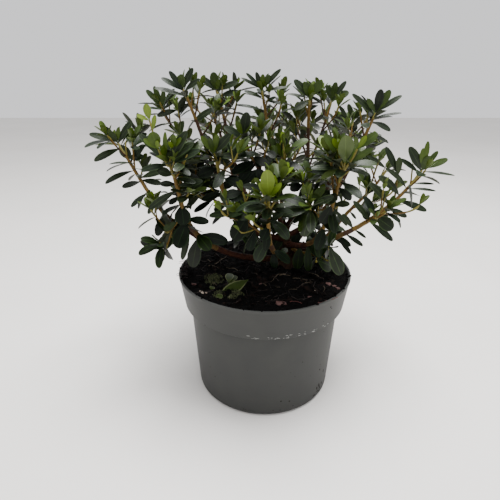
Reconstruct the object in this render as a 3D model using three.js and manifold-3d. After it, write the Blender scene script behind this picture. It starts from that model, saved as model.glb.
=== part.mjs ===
// An evergreen azalea shrub growing in its round nursery pot.
// Millimetres, +Z up. The origin is the centre of the pot's flat underside,
// -Y is the front of the plant and +X its right-hand side.
import * as THREE from 'three';
import { mergeVertices } from 'three/addons/utils/BufferGeometryUtils.js';
import Module from 'manifold-3d';

const wasm = await Module();
wasm.setup();

// Gap that pieces keep where they touch, and the same from a ring's corners,
// which is a little less between them
const CLEAR = 0.3;
const FACETED_CLEAR = CLEAR * 1.1;

// Grid that the corners of fused pieces lie on
const GRID = 0.001;

// Pot
const POT_HEIGHT = 141;
const POT_BASE_RADIUS = 77.7;
const POT_BODY_RADIUS = 83.9;
const POT_BAND_RADIUS = 89.7;
const POT_RIM_RADIUS = 95.2;
const POT_BAND_FROM = 106.7;
const POT_WALL = 1.8;
const POT_FLOOR = 2.4;
const POT_LIP = 2.6;
const DRAIN_HOLES = 8;
const DRAIN_RADIUS = 4.5;
const DRAIN_RING = 64;
const ROUND_SEGMENTS = 40;

// Potting mix
const SOIL_TOP = 136;
const SOIL_WAVE = 1.6;
const SOIL_EDGE_DROP = 1.5;

const SOIL_EDGE_DEPTH = 3;
const SOIL_LEVEL_REACH = 17;
const SOIL_WAVE_REACH = 18;

// Trunk
const FOOT_X = 28;
const FOOT_Y = 18;
const TRUNK_HEIGHT = 44;
const TRUNK_LEAN_X = -5;
const TRUNK_LEAN_Y = -3;
const TRUNK_RADIUS = 7;
const TRUNK_FORK_RADIUS = 5.4;
const ROOT_FLARE = 4.2;
const FLARE_FALL = 6;
const ROOT_LOBES = 4;
const LOBE_DEPTH = 0.16;
const TRUNK_SIDES = 12;
const TRUNK_STEPS = 6;

// Boughs
const BOUGH_SIDES = 6;
const BOUGH_STEP = 17;

// Leaves, larger than life so that fewer fill the crown
const LEAF_LENGTH = 29;
const LEAF_WIDTH = 13.4;
const RIB_THICKNESS = 1.3;
const RIB_AT = 0.32;
const ROOT_SUNK = 0.4;
const LEAF_FOLD = 0.16;
const LEAF_FACES = 8;
const MOST_FACES = 22;
const WIDEST_AT = 0.6;
const LOOKS_UP = 0.6;

// What a leaf is turned and scaled by until it fits
const LEAF_TURNS = [0, 20, -20, 40, -40, 60, -60];
const LEAF_SCALES = [1, 0.86, 0.72];

// Space between leaves, and between a leaf and the limbs and the pot's rim.
// OWN_SPACE is how much nearer its own stems than any other mass's a leaf stays.
const LEAF_APART = 2.8;
const OWN_SPACE = 1.3;
const LIMB_SPACE = 1.2;
const LIMBS_WITHIN = 150;
const LEAF_ABOVE_RIM = 3;
const LEAF_PAST_RIM = 4;

// A whorl of leaves at a shoot's tip, each one lower, and leaning out further, than the last
const WHORL_MAIN = 5;
const WHORL_SIDE = 4;
const WHORL_FROM_TIP = 0.8;
const WHORL_STEP = 2;
const WHORL_LEAN = 34;
const WHORL_DROOP = 0.08;

// Leaves down a shoot's stem, in a spiral of golden turns and ever further apart
const STEM_LEAVES_MAIN = 5;
const STEM_LEAVES_SIDE = 1;
const STEM_FROM_TIP = 8;
const STEM_STEP_GROWTH = 1.1;
const STEM_LEAVES_UNTIL = 0.86;
const STEM_LEAN = 60;
const LEAN_STEP = 4;
const GOLDEN_TURN = 137.5;

// The leaves of low shoots hang, by so many degrees for each millimetre below this height
const HANG_BELOW = 105;
const HANG_PER_MM = 0.5;

// How far a limb keeps the way that it starts and ends with, as a share of its span
const CURVE_HANDLE = 0.33;

// Main shoots. The outer ones end leaning out, by so many degrees for each
// millimetre of reach, and the others fork off the first near its foot.
const SHOOT_TIP_RADIUS = 1.3;
const SHOOT_END_RISE = 84;
const RISE_LOST_PER_MM = 0.17;
const FORK_AT = 0.1;
const FORK_APART = 0.13;
const FORK_TURN = 0.6;
const FORK_SHARE = 0.5;
const MAIN_STEPS = 4;

// Side shoots
const SIDE_TIP_RADIUS = 1.1;
const SIDE_FROM = 0.5;
const SIDE_RANGE = 0.34;
const SIDE_LEAN = 40;
const SIDE_LEAN_SPREAD = 16;
const SIDE_SHOOT_LENGTH = 27;
const SIDE_SHORTEST = 0.85;
const SIDE_SPREAD = 0.35;
const SIDE_LIFT = 0.2;
const SIDE_WAYS = 9;
const SIDE_ROOM = 9;
const SIDE_ABOVE_RIM = 12;
const SIDE_STEPS = 1;

// A twig is turned by so many degrees, up to so many times, until it joins well
const TWIG_SIDES = 3;
const TWIG_TURN = 17;
const TWIG_TRIES = 6;

const SAMPLE_STEP = 2.5;
const SEED = 41;
const LEAF_SEED = 7;

// A bearing is in degrees from +X towards +Y, round the trunk's foot. A reach is
// the distance out from the foot, a height the distance above the potting mix.
// rise is how steeply a limb climbs at its start and at its tip.
const BOUGHS = [
  { name: 'left_low', from: 'trunk', at: 0.24, tip: [208, 113, 62], rise: [3, 55], radius: [4.0, 2.6] },
  { name: 'right_low', from: 'trunk', at: 0.30, tip: [333, 63, 50], rise: [14, 34], radius: [3.8, 2.6] },
  { name: 'front_low', from: 'trunk', at: 0.36, tip: [250, 66, 47], rise: [10, 45], radius: [3.4, 2.4] },
  { name: 'back_left', from: 'trunk', at: 0.42, tip: [137, 65, 58], rise: [12, 50], radius: [3.4, 2.4] },
  { name: 'back_right', from: 'trunk', at: 0.50, tip: [46, 60, 58], rise: [12, 50], radius: [3.4, 2.4] },
  { name: 'right_front', from: 'trunk', at: 0.62, tip: [292, 60, 56], rise: [12, 50], radius: [3.2, 2.4] },
  { name: 'back_mid', from: 'trunk', at: 0.70, tip: [96, 52, 64], rise: [18, 55], radius: [3.2, 2.4] },
  { name: 'left_mid', from: 'trunk', at: 0.74, tip: [203, 60, 60], rise: [20, 50], radius: [3.4, 2.4] },
  { name: 'right_upper', from: 'trunk', at: 0.80, tip: [350, 40, 74], rise: [35, 60], radius: [3.4, 2.4] },
  { name: 'top_left', from: 'trunk', at: 0.88, tip: [160, 52, 80], rise: [30, 62], radius: [3.2, 2.4] },
  { name: 'centre_front', from: 'trunk', at: 0.94, tip: [240, 28, 72], rise: [40, 70], radius: [3.0, 2.3] },
  { name: 'centre_top', from: 'trunk', at: 1.0, tip: [140, 20, 80], rise: [70, 80], radius: [3.4, 2.4] },
  { name: 'right_top', from: 'trunk', at: 1.0, tip: [20, 16, 80], rise: [60, 78], radius: [3.2, 2.4] },
  { name: 'far_left', from: 'left_low', at: 0.90, tip: [190, 142, 79], rise: [18, 48], radius: [2.6, 2.1] },
  { name: 'left_upper', from: 'left_mid', at: 0.62, tip: [183, 70, 82], rise: [45, 62], radius: [2.7, 2.2] },
  { name: 'right_mid', from: 'right_low', at: 0.48, tip: [8, 60, 52], rise: [25, 40], radius: [2.7, 2.1] },
];

// Each mass of foliage has its main shoots' tips, as bearing, reach and height,
// and a number of side shoots on each of them. The first shoot goes on from the bough.
const MASSES = [
  { name: 'far_left', on: 'far_left', shoots: [[181, 181, 141]], sides: 3 },
  { name: 'left_front', on: 'left_low', shoots: [[210, 136, 133], [203, 140, 62]], sides: 2 },
  { name: 'left_upper', on: 'left_upper', shoots: [[179, 111, 192], [164, 148, 171]], sides: 2 },
  { name: 'left_mid', on: 'left_mid', shoots: [[217, 96, 138], [189, 110, 104]], sides: 2 },
  { name: 'top_left', on: 'top_left', shoots: [[158, 87, 192], [146, 108, 172]], sides: 2 },
  { name: 'centre_top', on: 'centre_top', shoots: [[145, 39, 191], [112, 62, 160]], sides: 2 },
  { name: 'centre_front', on: 'centre_front', shoots: [[217, 63, 151], [250, 34, 128]], sides: 2 },
  { name: 'front_low', on: 'front_low', shoots: [[255, 112, 110], [231, 88, 87]], sides: 2 },
  { name: 'right_top', on: 'right_top', shoots: [[7, 16, 183], [28, 47, 180], [80, 44, 160]], sides: 2 },
  { name: 'right_upper', on: 'right_upper', shoots: [[354, 81, 170], [30, 82, 158]], sides: 2 },
  { name: 'right_front', on: 'right_front', shoots: [[289, 103, 137], [276, 80, 98]], sides: 2 },
  { name: 'far_right', on: 'right_low', shoots: [[352, 133, 116], [330, 104, 84]], sides: 2 },
  { name: 'right_mid', on: 'right_mid', shoots: [[12, 112, 108], [354, 88, 80]], sides: 2 },
  { name: 'back_left', on: 'back_left', shoots: [[133, 128, 158], [118, 138, 122], [150, 158, 116]], sides: 2 },
  { name: 'back_mid', on: 'back_mid', shoots: [[98, 118, 150], [82, 136, 112]], sides: 2 },
  { name: 'back_right', on: 'back_right', shoots: [[55, 112, 152], [36, 128, 122], [64, 138, 96]], sides: 2 },
  { name: 'low_right', on: 'trunk', shoots: [[306, 62, 44]], sides: 1 },
];

// The one small shoot that stands on the trunk itself
const TRUNK_SPUR_AT = 0.5;
const TRUNK_SPUR_RADIUS = 1.9;
const TRUNK_SPUR_RISE = 8;
const TRUNK_SPUR_START = 2;

const COLOURS = {
  pot: 0x5b5c59,
  soil: 0x1d1613,
  trunk: 0x4a3226,
  bough: 0x6a4a34,
  leaf: 0x2f4426,
};

const UP = new THREE.Vector3(0, 0, 1);
const AXIS_X = new THREE.Vector3(1, 0, 0);
const AXIS_Y = new THREE.Vector3(0, 1, 0);

function radians(degrees) {
  return degrees * Math.PI / 180;
}

// Seeded random numbers from 0 to 1
function randomFrom(seed) {
  let state = seed >>> 0;
  return () => {
    state = (state + 0x6d2b79f5) >>> 0;
    let mixed = Math.imul(state ^ (state >>> 15), state | 1);
    mixed ^= mixed + Math.imul(mixed ^ (mixed >>> 7), mixed | 61);
    return ((mixed ^ (mixed >>> 14)) >>> 0) / 4294967296;
  };
}

// Solids and geometries

function toSolid(geometry) {
  const bare = geometry.clone();
  bare.deleteAttribute('normal');
  bare.deleteAttribute('uv');
  const merged = mergeVertices(bare, 1e-4);
  const mesh = new wasm.Mesh({
    numProp: 3,
    vertProperties: new Float32Array(merged.attributes.position.array),
    triVerts: new Uint32Array(merged.index.array),
  });
  return new wasm.Manifold(mesh);
}

// A solid's corners on a fine grid, with the faces that this leaves
function roundedFaces(solid) {
  const mesh = solid.getMesh();
  const points = [];
  const known = new Map();
  const count = mesh.vertProperties.length / 3;
  const number = Array.from({ length: count }, (_, i) => {
    const place = [0, 1, 2].map((k) => Math.round(mesh.vertProperties[3 * i + k] / GRID));
    const key = place.join(' ');
    if (!known.has(key)) {
      known.set(key, known.size);
      points.push(...place.map((value) => value * GRID));
    }
    return known.get(key);
  });
  const faces = [];
  for (let t = 0; t < mesh.triVerts.length; t += 3) {
    const [a, b, c] = [0, 1, 2].map((k) => number[mesh.triVerts[t + k]]);
    if (a !== b && b !== c && c !== a) {
      faces.push([a, b, c]);
    }
  }
  return { points, faces };
}

// Every edge of a closed skin is used once in each direction
function isClosed({ faces }) {
  const edges = new Set();
  for (const face of faces) {
    for (let k = 0; k < 3; k += 1) {
      const edge = face[k] * 1e6 + face[(k + 1) % 3];
      if (edges.has(edge)) {
        return false;
      }
      edges.add(edge);
    }
  }
  for (const edge of edges) {
    if (!edges.has((edge % 1e6) * 1e6 + Math.floor(edge / 1e6))) {
      return false;
    }
  }
  return true;
}

// The outer skin of a solid's largest piece: loose scraps are dropped and
// sealed hollows are filled
function toGeometry(solid) {
  const { points, faces } = roundedFaces(solid);
  const owner = points.map((_, i) => i);
  const find = (i) => (owner[i] === i ? i : find(owner[i]));
  for (const [a, b, c] of faces) {
    owner[find(a)] = find(b);
    owner[find(b)] = find(c);
  }
  const volumes = new Map();
  const corner = (i) => new THREE.Vector3().fromArray(points, i * 3);
  for (const [a, b, c] of faces) {
    const slice = corner(a).dot(corner(b).cross(corner(c)));
    volumes.set(find(a), (volumes.get(find(a)) ?? 0) + slice);
  }
  const [largest] = [...volumes.entries()].sort((first, second) => second[1] - first[1])[0];
  const geometry = new THREE.BufferGeometry();
  geometry.setAttribute('position', new THREE.Float32BufferAttribute(points, 3));
  geometry.setIndex(faces.filter((face) => find(face[0]) === largest).flat());
  return geometry;
}

// A closed tube along a curve, with its radius given at each step and compass angle.
// It is drawn one millimetre thick, and each ring is then scaled about its middle.
function bentTube(curve, radiusAt, sides, steps, firstTurn = 0) {
  const section = new THREE.Shape();
  for (let i = 0; i < sides; i += 1) {
    const turn = firstTurn + i * Math.PI * 2 / sides;
    section[i ? 'lineTo' : 'moveTo'](Math.cos(turn), Math.sin(turn));
  }
  const geometry = new THREE.ExtrudeGeometry(section, { steps, extrudePath: curve });
  const middles = curve.getSpacedPoints(steps);
  const position = geometry.attributes.position;
  const point = new THREE.Vector3();
  for (let i = 0; i < position.count; i += 1) {
    point.fromBufferAttribute(position, i);
    const gaps = middles.map((middle) => middle.distanceToSquared(point));
    const ring = gaps.indexOf(Math.min(...gaps));
    const offset = point.sub(middles[ring]);
    offset.multiplyScalar(radiusAt(ring / steps, Math.atan2(offset.y, offset.x)));
    offset.add(middles[ring]);
    position.setXYZ(i, offset.x, offset.y, offset.z);
  }
  return geometry;
}

function taper(radius) {
  return (along) => radius[0] + (radius[1] - radius[0]) * along;
}

// The skeleton of limbs and shoots

function spot([bearing, reach, height]) {
  const turn = radians(bearing);
  const x = FOOT_X + reach * Math.cos(turn);
  const y = FOOT_Y + reach * Math.sin(turn);
  return new THREE.Vector3(x, y, SOIL_TOP + height);
}

// A direction with the bearing of one point seen from another and a given rise
function heading(from, to, rise) {
  const flat = new THREE.Vector3(to.x - from.x, to.y - from.y, 0).normalize();
  return flat.multiplyScalar(Math.cos(radians(rise))).addScaledVector(UP, Math.sin(radians(rise)));
}

function limbCurve(start, startWay, end, endWay) {
  const handle = start.distanceTo(end) * CURVE_HANDLE;
  const first = start.clone().addScaledVector(startWay, handle);
  const second = end.clone().addScaledVector(endWay, -handle);
  return new THREE.CubicBezierCurve3(start, first, second, end);
}

function samples(curve, step) {
  const count = Math.max(2, Math.ceil(curve.getLength() / step));
  return curve.getPoints(count);
}

// A shoot is a chain of straight lengths, so its leaves sit on its true axis
function makeShoot(curve, radius, main) {
  const steps = main ? MAIN_STEPS : SIDE_STEPS;
  const joints = curve.getSpacedPoints(steps);
  const length = curve.getLength();
  const place = (along) => {
    const step = Math.min(steps - 1, Math.floor(along * steps));
    const way = joints[step + 1].clone().sub(joints[step]);
    const point = joints[step].clone().addScaledVector(way, along * steps - step);
    return { point, way: way.normalize() };
  };
  const count = Math.ceil(length / SAMPLE_STEP);
  const points = Array.from({ length: count + 1 }, (_, i) => place(i / count).point);
  return { curve, radius, main, steps, length, place, points, thickness: taper(radius) };
}

function makeTrunk() {
  const foot = new THREE.Vector3(FOOT_X, FOOT_Y, SOIL_TOP + CLEAR);
  const fork = foot.clone().add(new THREE.Vector3(TRUNK_LEAN_X, TRUNK_LEAN_Y, TRUNK_HEIGHT));
  const curve = limbCurve(foot, UP, fork, new THREE.Vector3(-0.2, -0.1, 1).normalize());
  return { name: 'trunk', curve, radius: [TRUNK_RADIUS, TRUNK_FORK_RADIUS] };
}

function makeBoughs(trunk) {
  const limbs = new Map([['trunk', trunk]]);
  for (const plan of BOUGHS) {
    const parent = limbs.get(plan.from);
    const start = parent.curve.getPoint(plan.at);
    const end = spot(plan.tip);
    const startWay = heading(start, end, plan.rise[0]);
    const endWay = heading(start, end, plan.rise[1]);
    const curve = limbCurve(start, startWay, end, endWay);
    limbs.set(plan.name, { name: `bough_${plan.name}`, curve, radius: plan.radius, parent });
  }
  return limbs;
}

// Outer shoots lean out, inner ones stand almost upright
function shootEndWay(start, end) {
  const reach = Math.hypot(end.x - FOOT_X, end.y - FOOT_Y);
  return heading(start, end, SHOOT_END_RISE - reach * RISE_LOST_PER_MM);
}

function mainShoots(mass, limbs) {
  const shoots = [];
  mass.shoots.forEach((tip, order) => {
    const end = spot(tip);
    let start;
    let startWay;
    let radius;
    if (order > 0) {
      const at = FORK_AT + FORK_APART * order;
      const fork = shoots[0].place(at);
      start = fork.point;
      startWay = fork.way.multiplyScalar(1 - FORK_TURN);
      startWay.addScaledVector(end.clone().sub(start).normalize(), FORK_TURN).normalize();
      radius = [FORK_SHARE * shoots[0].thickness(at), SHOOT_TIP_RADIUS];
    } else if (mass.on === 'trunk') {
      const middle = limbs.get('trunk').curve.getPoint(TRUNK_SPUR_AT);
      startWay = heading(middle, end, TRUNK_SPUR_RISE);
      start = middle.clone().addScaledVector(startWay, TRUNK_SPUR_START);
      radius = [TRUNK_SPUR_RADIUS, SHOOT_TIP_RADIUS];
    } else {
      const bough = limbs.get(mass.on);
      startWay = bough.curve.getTangent(1);
      start = bough.curve.getPoint(1).addScaledVector(startWay, CLEAR);
      radius = [bough.radius[1], SHOOT_TIP_RADIUS];
    }
    const curve = limbCurve(start, startWay, end, shootEndWay(start, end));
    shoots.push(makeShoot(curve, radius, true));
  });
  return shoots;
}

function nearest(point, others) {
  let least = Infinity;
  for (const other of others) {
    least = Math.min(least, point.distanceToSquared(other));
  }
  return Math.sqrt(least);
}

// Two directions square to an axis
function crossWays(axis) {
  const guide = Math.abs(axis.x) > 0.9 ? AXIS_Y : AXIS_X;
  const first = guide.clone().addScaledVector(axis, -guide.dot(axis)).normalize();
  return [first, new THREE.Vector3().crossVectors(axis, first)];
}

function leaning(axis, turn, lean) {
  const [first, second] = crossWays(axis);
  const out = first.multiplyScalar(Math.cos(turn)).addScaledVector(second, Math.sin(turn));
  return axis.clone().multiplyScalar(Math.cos(lean)).addScaledVector(out, Math.sin(lean));
}

// A side shoot takes the emptiest of the directions round its parent
function sideShoot(parent, at, random, taken, limbPoints) {
  const { point: start, way: axis } = parent.place(at);
  const lean = radians(SIDE_LEAN + SIDE_LEAN_SPREAD * random());
  const length = SIDE_SHOOT_LENGTH * (SIDE_SHORTEST + SIDE_SPREAD * random());
  const firstTurn = random() * Math.PI * 2;
  let best = null;
  for (let step = 0; step < SIDE_WAYS; step += 1) {
    const way = leaning(axis, firstTurn + step * Math.PI * 2 / SIDE_WAYS, lean);
    const end = start.clone().addScaledVector(way, length);
    end.z += length * SIDE_LIFT;
    const room = Math.min(nearest(end, taken), nearest(end, limbPoints));
    if (end.z > POT_HEIGHT + SIDE_ABOVE_RIM && (best === null || room > best.room)) {
      best = { room, end, way };
    }
  }
  if (best === null || best.room < SIDE_ROOM) {
    return null;
  }
  const curve = limbCurve(start, best.way, best.end, shootEndWay(start, best.end));
  return makeShoot(curve, [FORK_SHARE * parent.thickness(at), SIDE_TIP_RADIUS], false);
}

function growShoots(limbs) {
  const grown = MASSES.map((mass) => mainShoots(mass, limbs));
  const limbPoints = [...limbs.values()].flatMap((limb) => samples(limb.curve, SAMPLE_STEP));
  MASSES.forEach((mass, index) => {
    const random = randomFrom(SEED + index);
    const mains = grown[index].slice();
    for (const parent of mains) {
      for (let order = 0; order < mass.sides; order += 1) {
        const at = SIDE_FROM + SIDE_RANGE * (order + 0.5) / mass.sides;
        const taken = grown.flat().flatMap((shoot) => shoot.points);
        const side = sideShoot(parent, at, random, taken, limbPoints);
        if (side) {
          grown[index].push(side);
        }
      }
    }
  });
  return grown;
}

// Leaves

// Where a leaf stands, how it points and its size
function leafFrame(shoot, fromTip, turn, lean, length, droop) {
  const { point: root, way: axis } = shoot.place(Math.max(0.05, 1 - fromTip / shoot.length));
  const way = leaning(axis, turn, lean);
  const face = axis.clone().addScaledVector(UP, LOOKS_UP);
  face.addScaledVector(way, -face.dot(way)).normalize();
  const side = new THREE.Vector3().crossVectors(face, way);
  return { root, way, face, side, length, droop };
}

// A point of a leaf: along its length, across its width and off its face
function leafPoint(leaf, along, across, off) {
  const sag = leaf.droop * leaf.length * along * along;
  const point = leaf.root.clone().addScaledVector(leaf.way, leaf.length * along);
  return point.addScaledVector(leaf.side, across).addScaledVector(leaf.face, off - sag);
}

function leafHalfWidth(leaf) {
  return LEAF_WIDTH / 2 * leaf.length / LEAF_LENGTH;
}

// Eight faces: root, tip, two raised edges, and a rib that is thickest near the root
function leafGeometry(leaf) {
  const geometry = new THREE.OctahedronGeometry(1);
  const position = geometry.attributes.position;
  const half = leafHalfWidth(leaf);
  for (let i = 0; i < position.count; i += 1) {
    const x = position.getX(i);
    const y = position.getY(i);
    const z = position.getZ(i);
    let point = leafPoint(leaf, RIB_AT, 0, z * RIB_THICKNESS / 2);
    if (Math.abs(x) > 0.5) {
      point = leafPoint(leaf, x > 0 ? 1 : -ROOT_SUNK / leaf.length, 0, 0);
    } else if (Math.abs(y) > 0.5) {
      point = leafPoint(leaf, WIDEST_AT, y * half, half * LEAF_FOLD);
    }
    position.setXYZ(i, point.x, point.y, point.z);
  }
  return geometry;
}

// Points all over a leaf, from just outside its twig
function leafProbe(leaf) {
  const probe = [];
  const half = leafHalfWidth(leaf);
  for (const along of [0.24, 0.36, 0.48, 0.6, 0.72, 0.86, 1]) {
    const width = half * Math.min(along / WIDEST_AT, (1 - along) / (1 - WIDEST_AT));
    for (const across of width > 1 ? [-1, -0.5, 0, 0.5, 1] : [0]) {
      probe.push(leafPoint(leaf, along, across * width, 0));
    }
  }
  return probe;
}

function leafFits(leaf, own, others, limbs, placed) {
  return leafProbe(leaf).every((point) => {
    const reach = Math.hypot(point.x, point.y);
    if (point.z < POT_HEIGHT + LEAF_ABOVE_RIM && reach < POT_RIM_RADIUS + LEAF_PAST_RIM) {
      return false;
    }
    for (const limb of limbs) {
      if (point.distanceTo(limb.point) < limb.radius + LIMB_SPACE) {
        return false;
      }
    }
    if (nearest(point, placed) < LEAF_APART) {
      return false;
    }
    return nearest(point, others) > nearest(point, own) + OWN_SPACE;
  });
}

// A shoot's three-sided twig is turned until it joins its parent in a sound skin
function addShoot(solid, shoot) {
  for (let step = 0; step < TWIG_TRIES; step += 1) {
    const turn = radians(TWIG_TURN * step);
    const twig = toSolid(bentTube(shoot.curve, shoot.thickness, TWIG_SIDES, shoot.steps, turn));
    const joined = solid ? solid.add(twig) : twig;
    if (isClosed(roundedFaces(joined))) {
      return joined;
    }
  }
  return solid;
}

// A leaf that does not fit is turned a little, then made shorter, then left out.
// One that crosses its neighbours shows by the many faces that it would add.
function addLeaf(solid, shoot, plan, own, others, limbs, placed) {
  for (const scale of LEAF_SCALES) {
    for (const nudge of LEAF_TURNS) {
      const turn = plan.turn + radians(nudge);
      const length = plan.length * scale;
      const leaf = leafFrame(shoot, plan.fromTip, turn, plan.lean, length, plan.droop);
      if (leafFits(leaf, own, others, limbs, placed)) {
        const joined = solid.add(toSolid(leafGeometry(leaf)));
        const cost = joined.numTri() - solid.numTri();
        if (cost > LEAF_FACES && cost <= MOST_FACES && isClosed(roundedFaces(joined))) {
          placed.push(...leafProbe(leaf));
          return joined;
        }
      }
    }
  }
  return solid;
}

// A whorl of leaves at the tip, then leaves up and down the stem in a spiral
function leafPlans(shoot, random) {
  const plans = [];
  const whorl = shoot.main ? WHORL_MAIN : WHORL_SIDE;
  const stemLeaves = shoot.main ? STEM_LEAVES_MAIN : STEM_LEAVES_SIDE;
  const firstTurn = random() * Math.PI * 2;
  const height = shoot.place(1).point.z - SOIL_TOP;
  const hang = HANG_PER_MM * Math.max(0, HANG_BELOW - height);
  for (let i = 0; i < whorl; i += 1) {
    plans.push({
      fromTip: WHORL_FROM_TIP + i * WHORL_STEP,
      turn: firstTurn + (i + 0.3 * random()) * Math.PI * 2 / whorl,
      lean: radians(WHORL_LEAN + LEAN_STEP * i + 10 * random() + hang / 2),
      length: LEAF_LENGTH * (0.82 + 0.18 * random()),
      droop: WHORL_DROOP,
    });
  }
  for (let i = 0; i < stemLeaves; i += 1) {
    const fromTip = STEM_FROM_TIP * (i + 1) + STEM_STEP_GROWTH * i * i;
    if (fromTip < shoot.length * STEM_LEAVES_UNTIL) {
      plans.push({
        fromTip,
        turn: firstTurn + radians(60 + GOLDEN_TURN * i),
        lean: radians(STEM_LEAN + LEAN_STEP * i + 12 * random() + hang),
        length: LEAF_LENGTH * (0.92 + 0.2 * random()),
        droop: 0.1 + 0.16 * random(),
      });
    }
  }
  return plans;
}

// One mass: its twigs fused into one solid, with every leaf that fits fused on
function foliageGeometry(index, grown, limbMarks, trunkSpace) {
  const random = randomFrom(SEED * LEAF_SEED + index);
  const own = grown[index].flatMap((shoot) => shoot.points);
  const others = grown.filter((_, i) => i !== index).flat().flatMap((shoot) => shoot.points);
  const middle = new THREE.Vector3();
  own.forEach((point) => middle.addScaledVector(point, 1 / own.length));
  const nearLimbs = limbMarks.filter((mark) => mark.point.distanceTo(middle) < LIMBS_WITHIN);
  const placed = [];
  let solid = grown[index].reduce(addShoot, null);
  for (const shoot of grown[index]) {
    for (const plan of leafPlans(shoot, random)) {
      solid = addLeaf(solid, shoot, plan, own, others, nearLimbs, placed);
    }
  }
  if (MASSES[index].on === 'trunk') {
    solid = solid.subtract(trunkSpace);
  }
  return toGeometry(solid);
}

// Pot and potting mix

function lathe(profile) {
  const outline = profile.map(([radius, z]) => new THREE.Vector2(radius, z));
  const geometry = new THREE.LatheGeometry(outline, ROUND_SEGMENTS);
  return geometry.rotateX(Math.PI / 2);
}

// Inner radius of the pot's wall at a height
function innerRadius(z) {
  if (z < POT_BAND_FROM + POT_WALL) {
    const rise = z / POT_BAND_FROM;
    return POT_BASE_RADIUS + (POT_BODY_RADIUS - POT_BASE_RADIUS) * rise - POT_WALL;
  }
  const rise = (z - POT_BAND_FROM) / (POT_HEIGHT - POT_BAND_FROM);
  return POT_BAND_RADIUS + (POT_RIM_RADIUS - POT_BAND_RADIUS) * rise - POT_WALL - 0.4;
}

function potGeometry() {
  const shelf = POT_BAND_FROM + POT_WALL;
  const profile = [
    [0, 0],
    [POT_BASE_RADIUS - 2.5, 0],
    [POT_BASE_RADIUS, 2.5],
    [POT_BODY_RADIUS, POT_BAND_FROM],
    [POT_BAND_RADIUS, POT_BAND_FROM + 0.6],
    [POT_RIM_RADIUS - 0.7, POT_HEIGHT - POT_LIP],
    [POT_RIM_RADIUS, POT_HEIGHT - POT_LIP + 0.8],
    [POT_RIM_RADIUS, POT_HEIGHT - 0.7],
    [POT_RIM_RADIUS - 0.8, POT_HEIGHT],
    [innerRadius(POT_HEIGHT), POT_HEIGHT - 0.4],
    [innerRadius(shelf + 0.6), shelf + 0.6],
    [innerRadius(shelf - 0.01), shelf],
    [innerRadius(POT_FLOOR), POT_FLOOR],
    [0, POT_FLOOR],
  ];
  let pot = toSolid(lathe(profile));
  for (let i = 0; i < DRAIN_HOLES; i += 1) {
    const turn = (i + 0.5) * Math.PI * 2 / DRAIN_HOLES;
    const hole = new THREE.CylinderGeometry(DRAIN_RADIUS, DRAIN_RADIUS, POT_FLOOR * 3, 8);
    hole.rotateX(Math.PI / 2);
    hole.translate(DRAIN_RING * Math.cos(turn), DRAIN_RING * Math.sin(turn), POT_FLOOR / 2);
    pot = pot.subtract(toSolid(hole));
  }
  return toGeometry(pot);
}

// Height of the potting mix: gentle waves, level under the trunk's foot
function soilHeight(x, y) {
  const reach = Math.hypot(x, y) / innerRadius(SOIL_TOP);
  const fromFoot = Math.hypot(x - FOOT_X, y - FOOT_Y);
  const wave = Math.sin(x * 0.071 + 1.3) * Math.cos(y * 0.083 + 0.4) + 0.5 * Math.sin((x + y) * 0.13);
  const free = Math.min(1, Math.max(0, (fromFoot - SOIL_LEVEL_REACH) / SOIL_WAVE_REACH));
  return SOIL_TOP + free * (SOIL_WAVE * wave - SOIL_EDGE_DROP * reach * reach);
}

function soilGeometry() {
  const shelf = POT_BAND_FROM + POT_WALL;
  const edge = innerRadius(SOIL_TOP - SOIL_EDGE_DEPTH) - CLEAR;
  const profile = [
    [0, POT_FLOOR + CLEAR],
    [innerRadius(POT_FLOOR) - CLEAR, POT_FLOOR + CLEAR],
    [innerRadius(shelf - 0.01) - CLEAR, shelf + CLEAR],
    [innerRadius(shelf + 1) - CLEAR, shelf + CLEAR + 0.7],
    [edge, SOIL_TOP - SOIL_EDGE_DEPTH],
  ];
  for (const share of [0.99, 0.82, 0.58, 0.3, 0]) {
    profile.push([edge * share, SOIL_TOP]);
  }
  const geometry = lathe(profile);
  const position = geometry.attributes.position;
  for (let i = 0; i < position.count; i += 1) {
    if (position.getZ(i) > SOIL_TOP - 1) {
      position.setZ(i, soilHeight(position.getX(i), position.getY(i)));
    }
  }
  return toGeometry(toSolid(geometry));
}

// Trunk and boughs

function trunkGeometry(trunk, gap) {
  const radiusAt = (along, turn) => {
    const flare = Math.exp(-along * FLARE_FALL);
    const lobes = 1 + LOBE_DEPTH * flare * Math.cos(ROOT_LOBES * turn);
    return (taper(trunk.radius)(along) + ROOT_FLARE * flare) * lobes + gap;
  };
  const geometry = bentTube(trunk.curve, radiusAt, TRUNK_SIDES, TRUNK_STEPS);
  const position = geometry.attributes.position;
  const ground = trunk.curve.getPoint(0).z;
  for (let i = 0; i < position.count; i += 1) {
    if (position.getZ(i) < ground + 1) {
      position.setZ(i, ground);
    }
  }
  return geometry;
}

// A bough, or with a gap the space that its neighbours are cut clear of
function boughSolid(limb, gap) {
  const steps = Math.max(4, Math.round(limb.curve.getLength() / BOUGH_STEP));
  const radiusAt = (along) => taper(limb.radius)(along) + gap;
  return toSolid(bentTube(limb.curve, radiusAt, BOUGH_SIDES, steps));
}

function finish(colour, roughness) {
  return new THREE.MeshStandardMaterial({ color: colour, roughness, metalness: 0 });
}

function named(name, geometry, material) {
  const mesh = new THREE.Mesh(geometry, material);
  mesh.name = name;
  return mesh;
}

const shrub = new THREE.Group();
shrub.add(named('pot', potGeometry(), finish(COLOURS.pot, 0.45)));
shrub.add(named('soil', soilGeometry(), finish(COLOURS.soil, 0.95)));

const trunk = makeTrunk();
const limbs = makeBoughs(trunk);
shrub.add(named('trunk', toGeometry(toSolid(trunkGeometry(trunk, 0))), finish(COLOURS.trunk, 0.85)));

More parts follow.
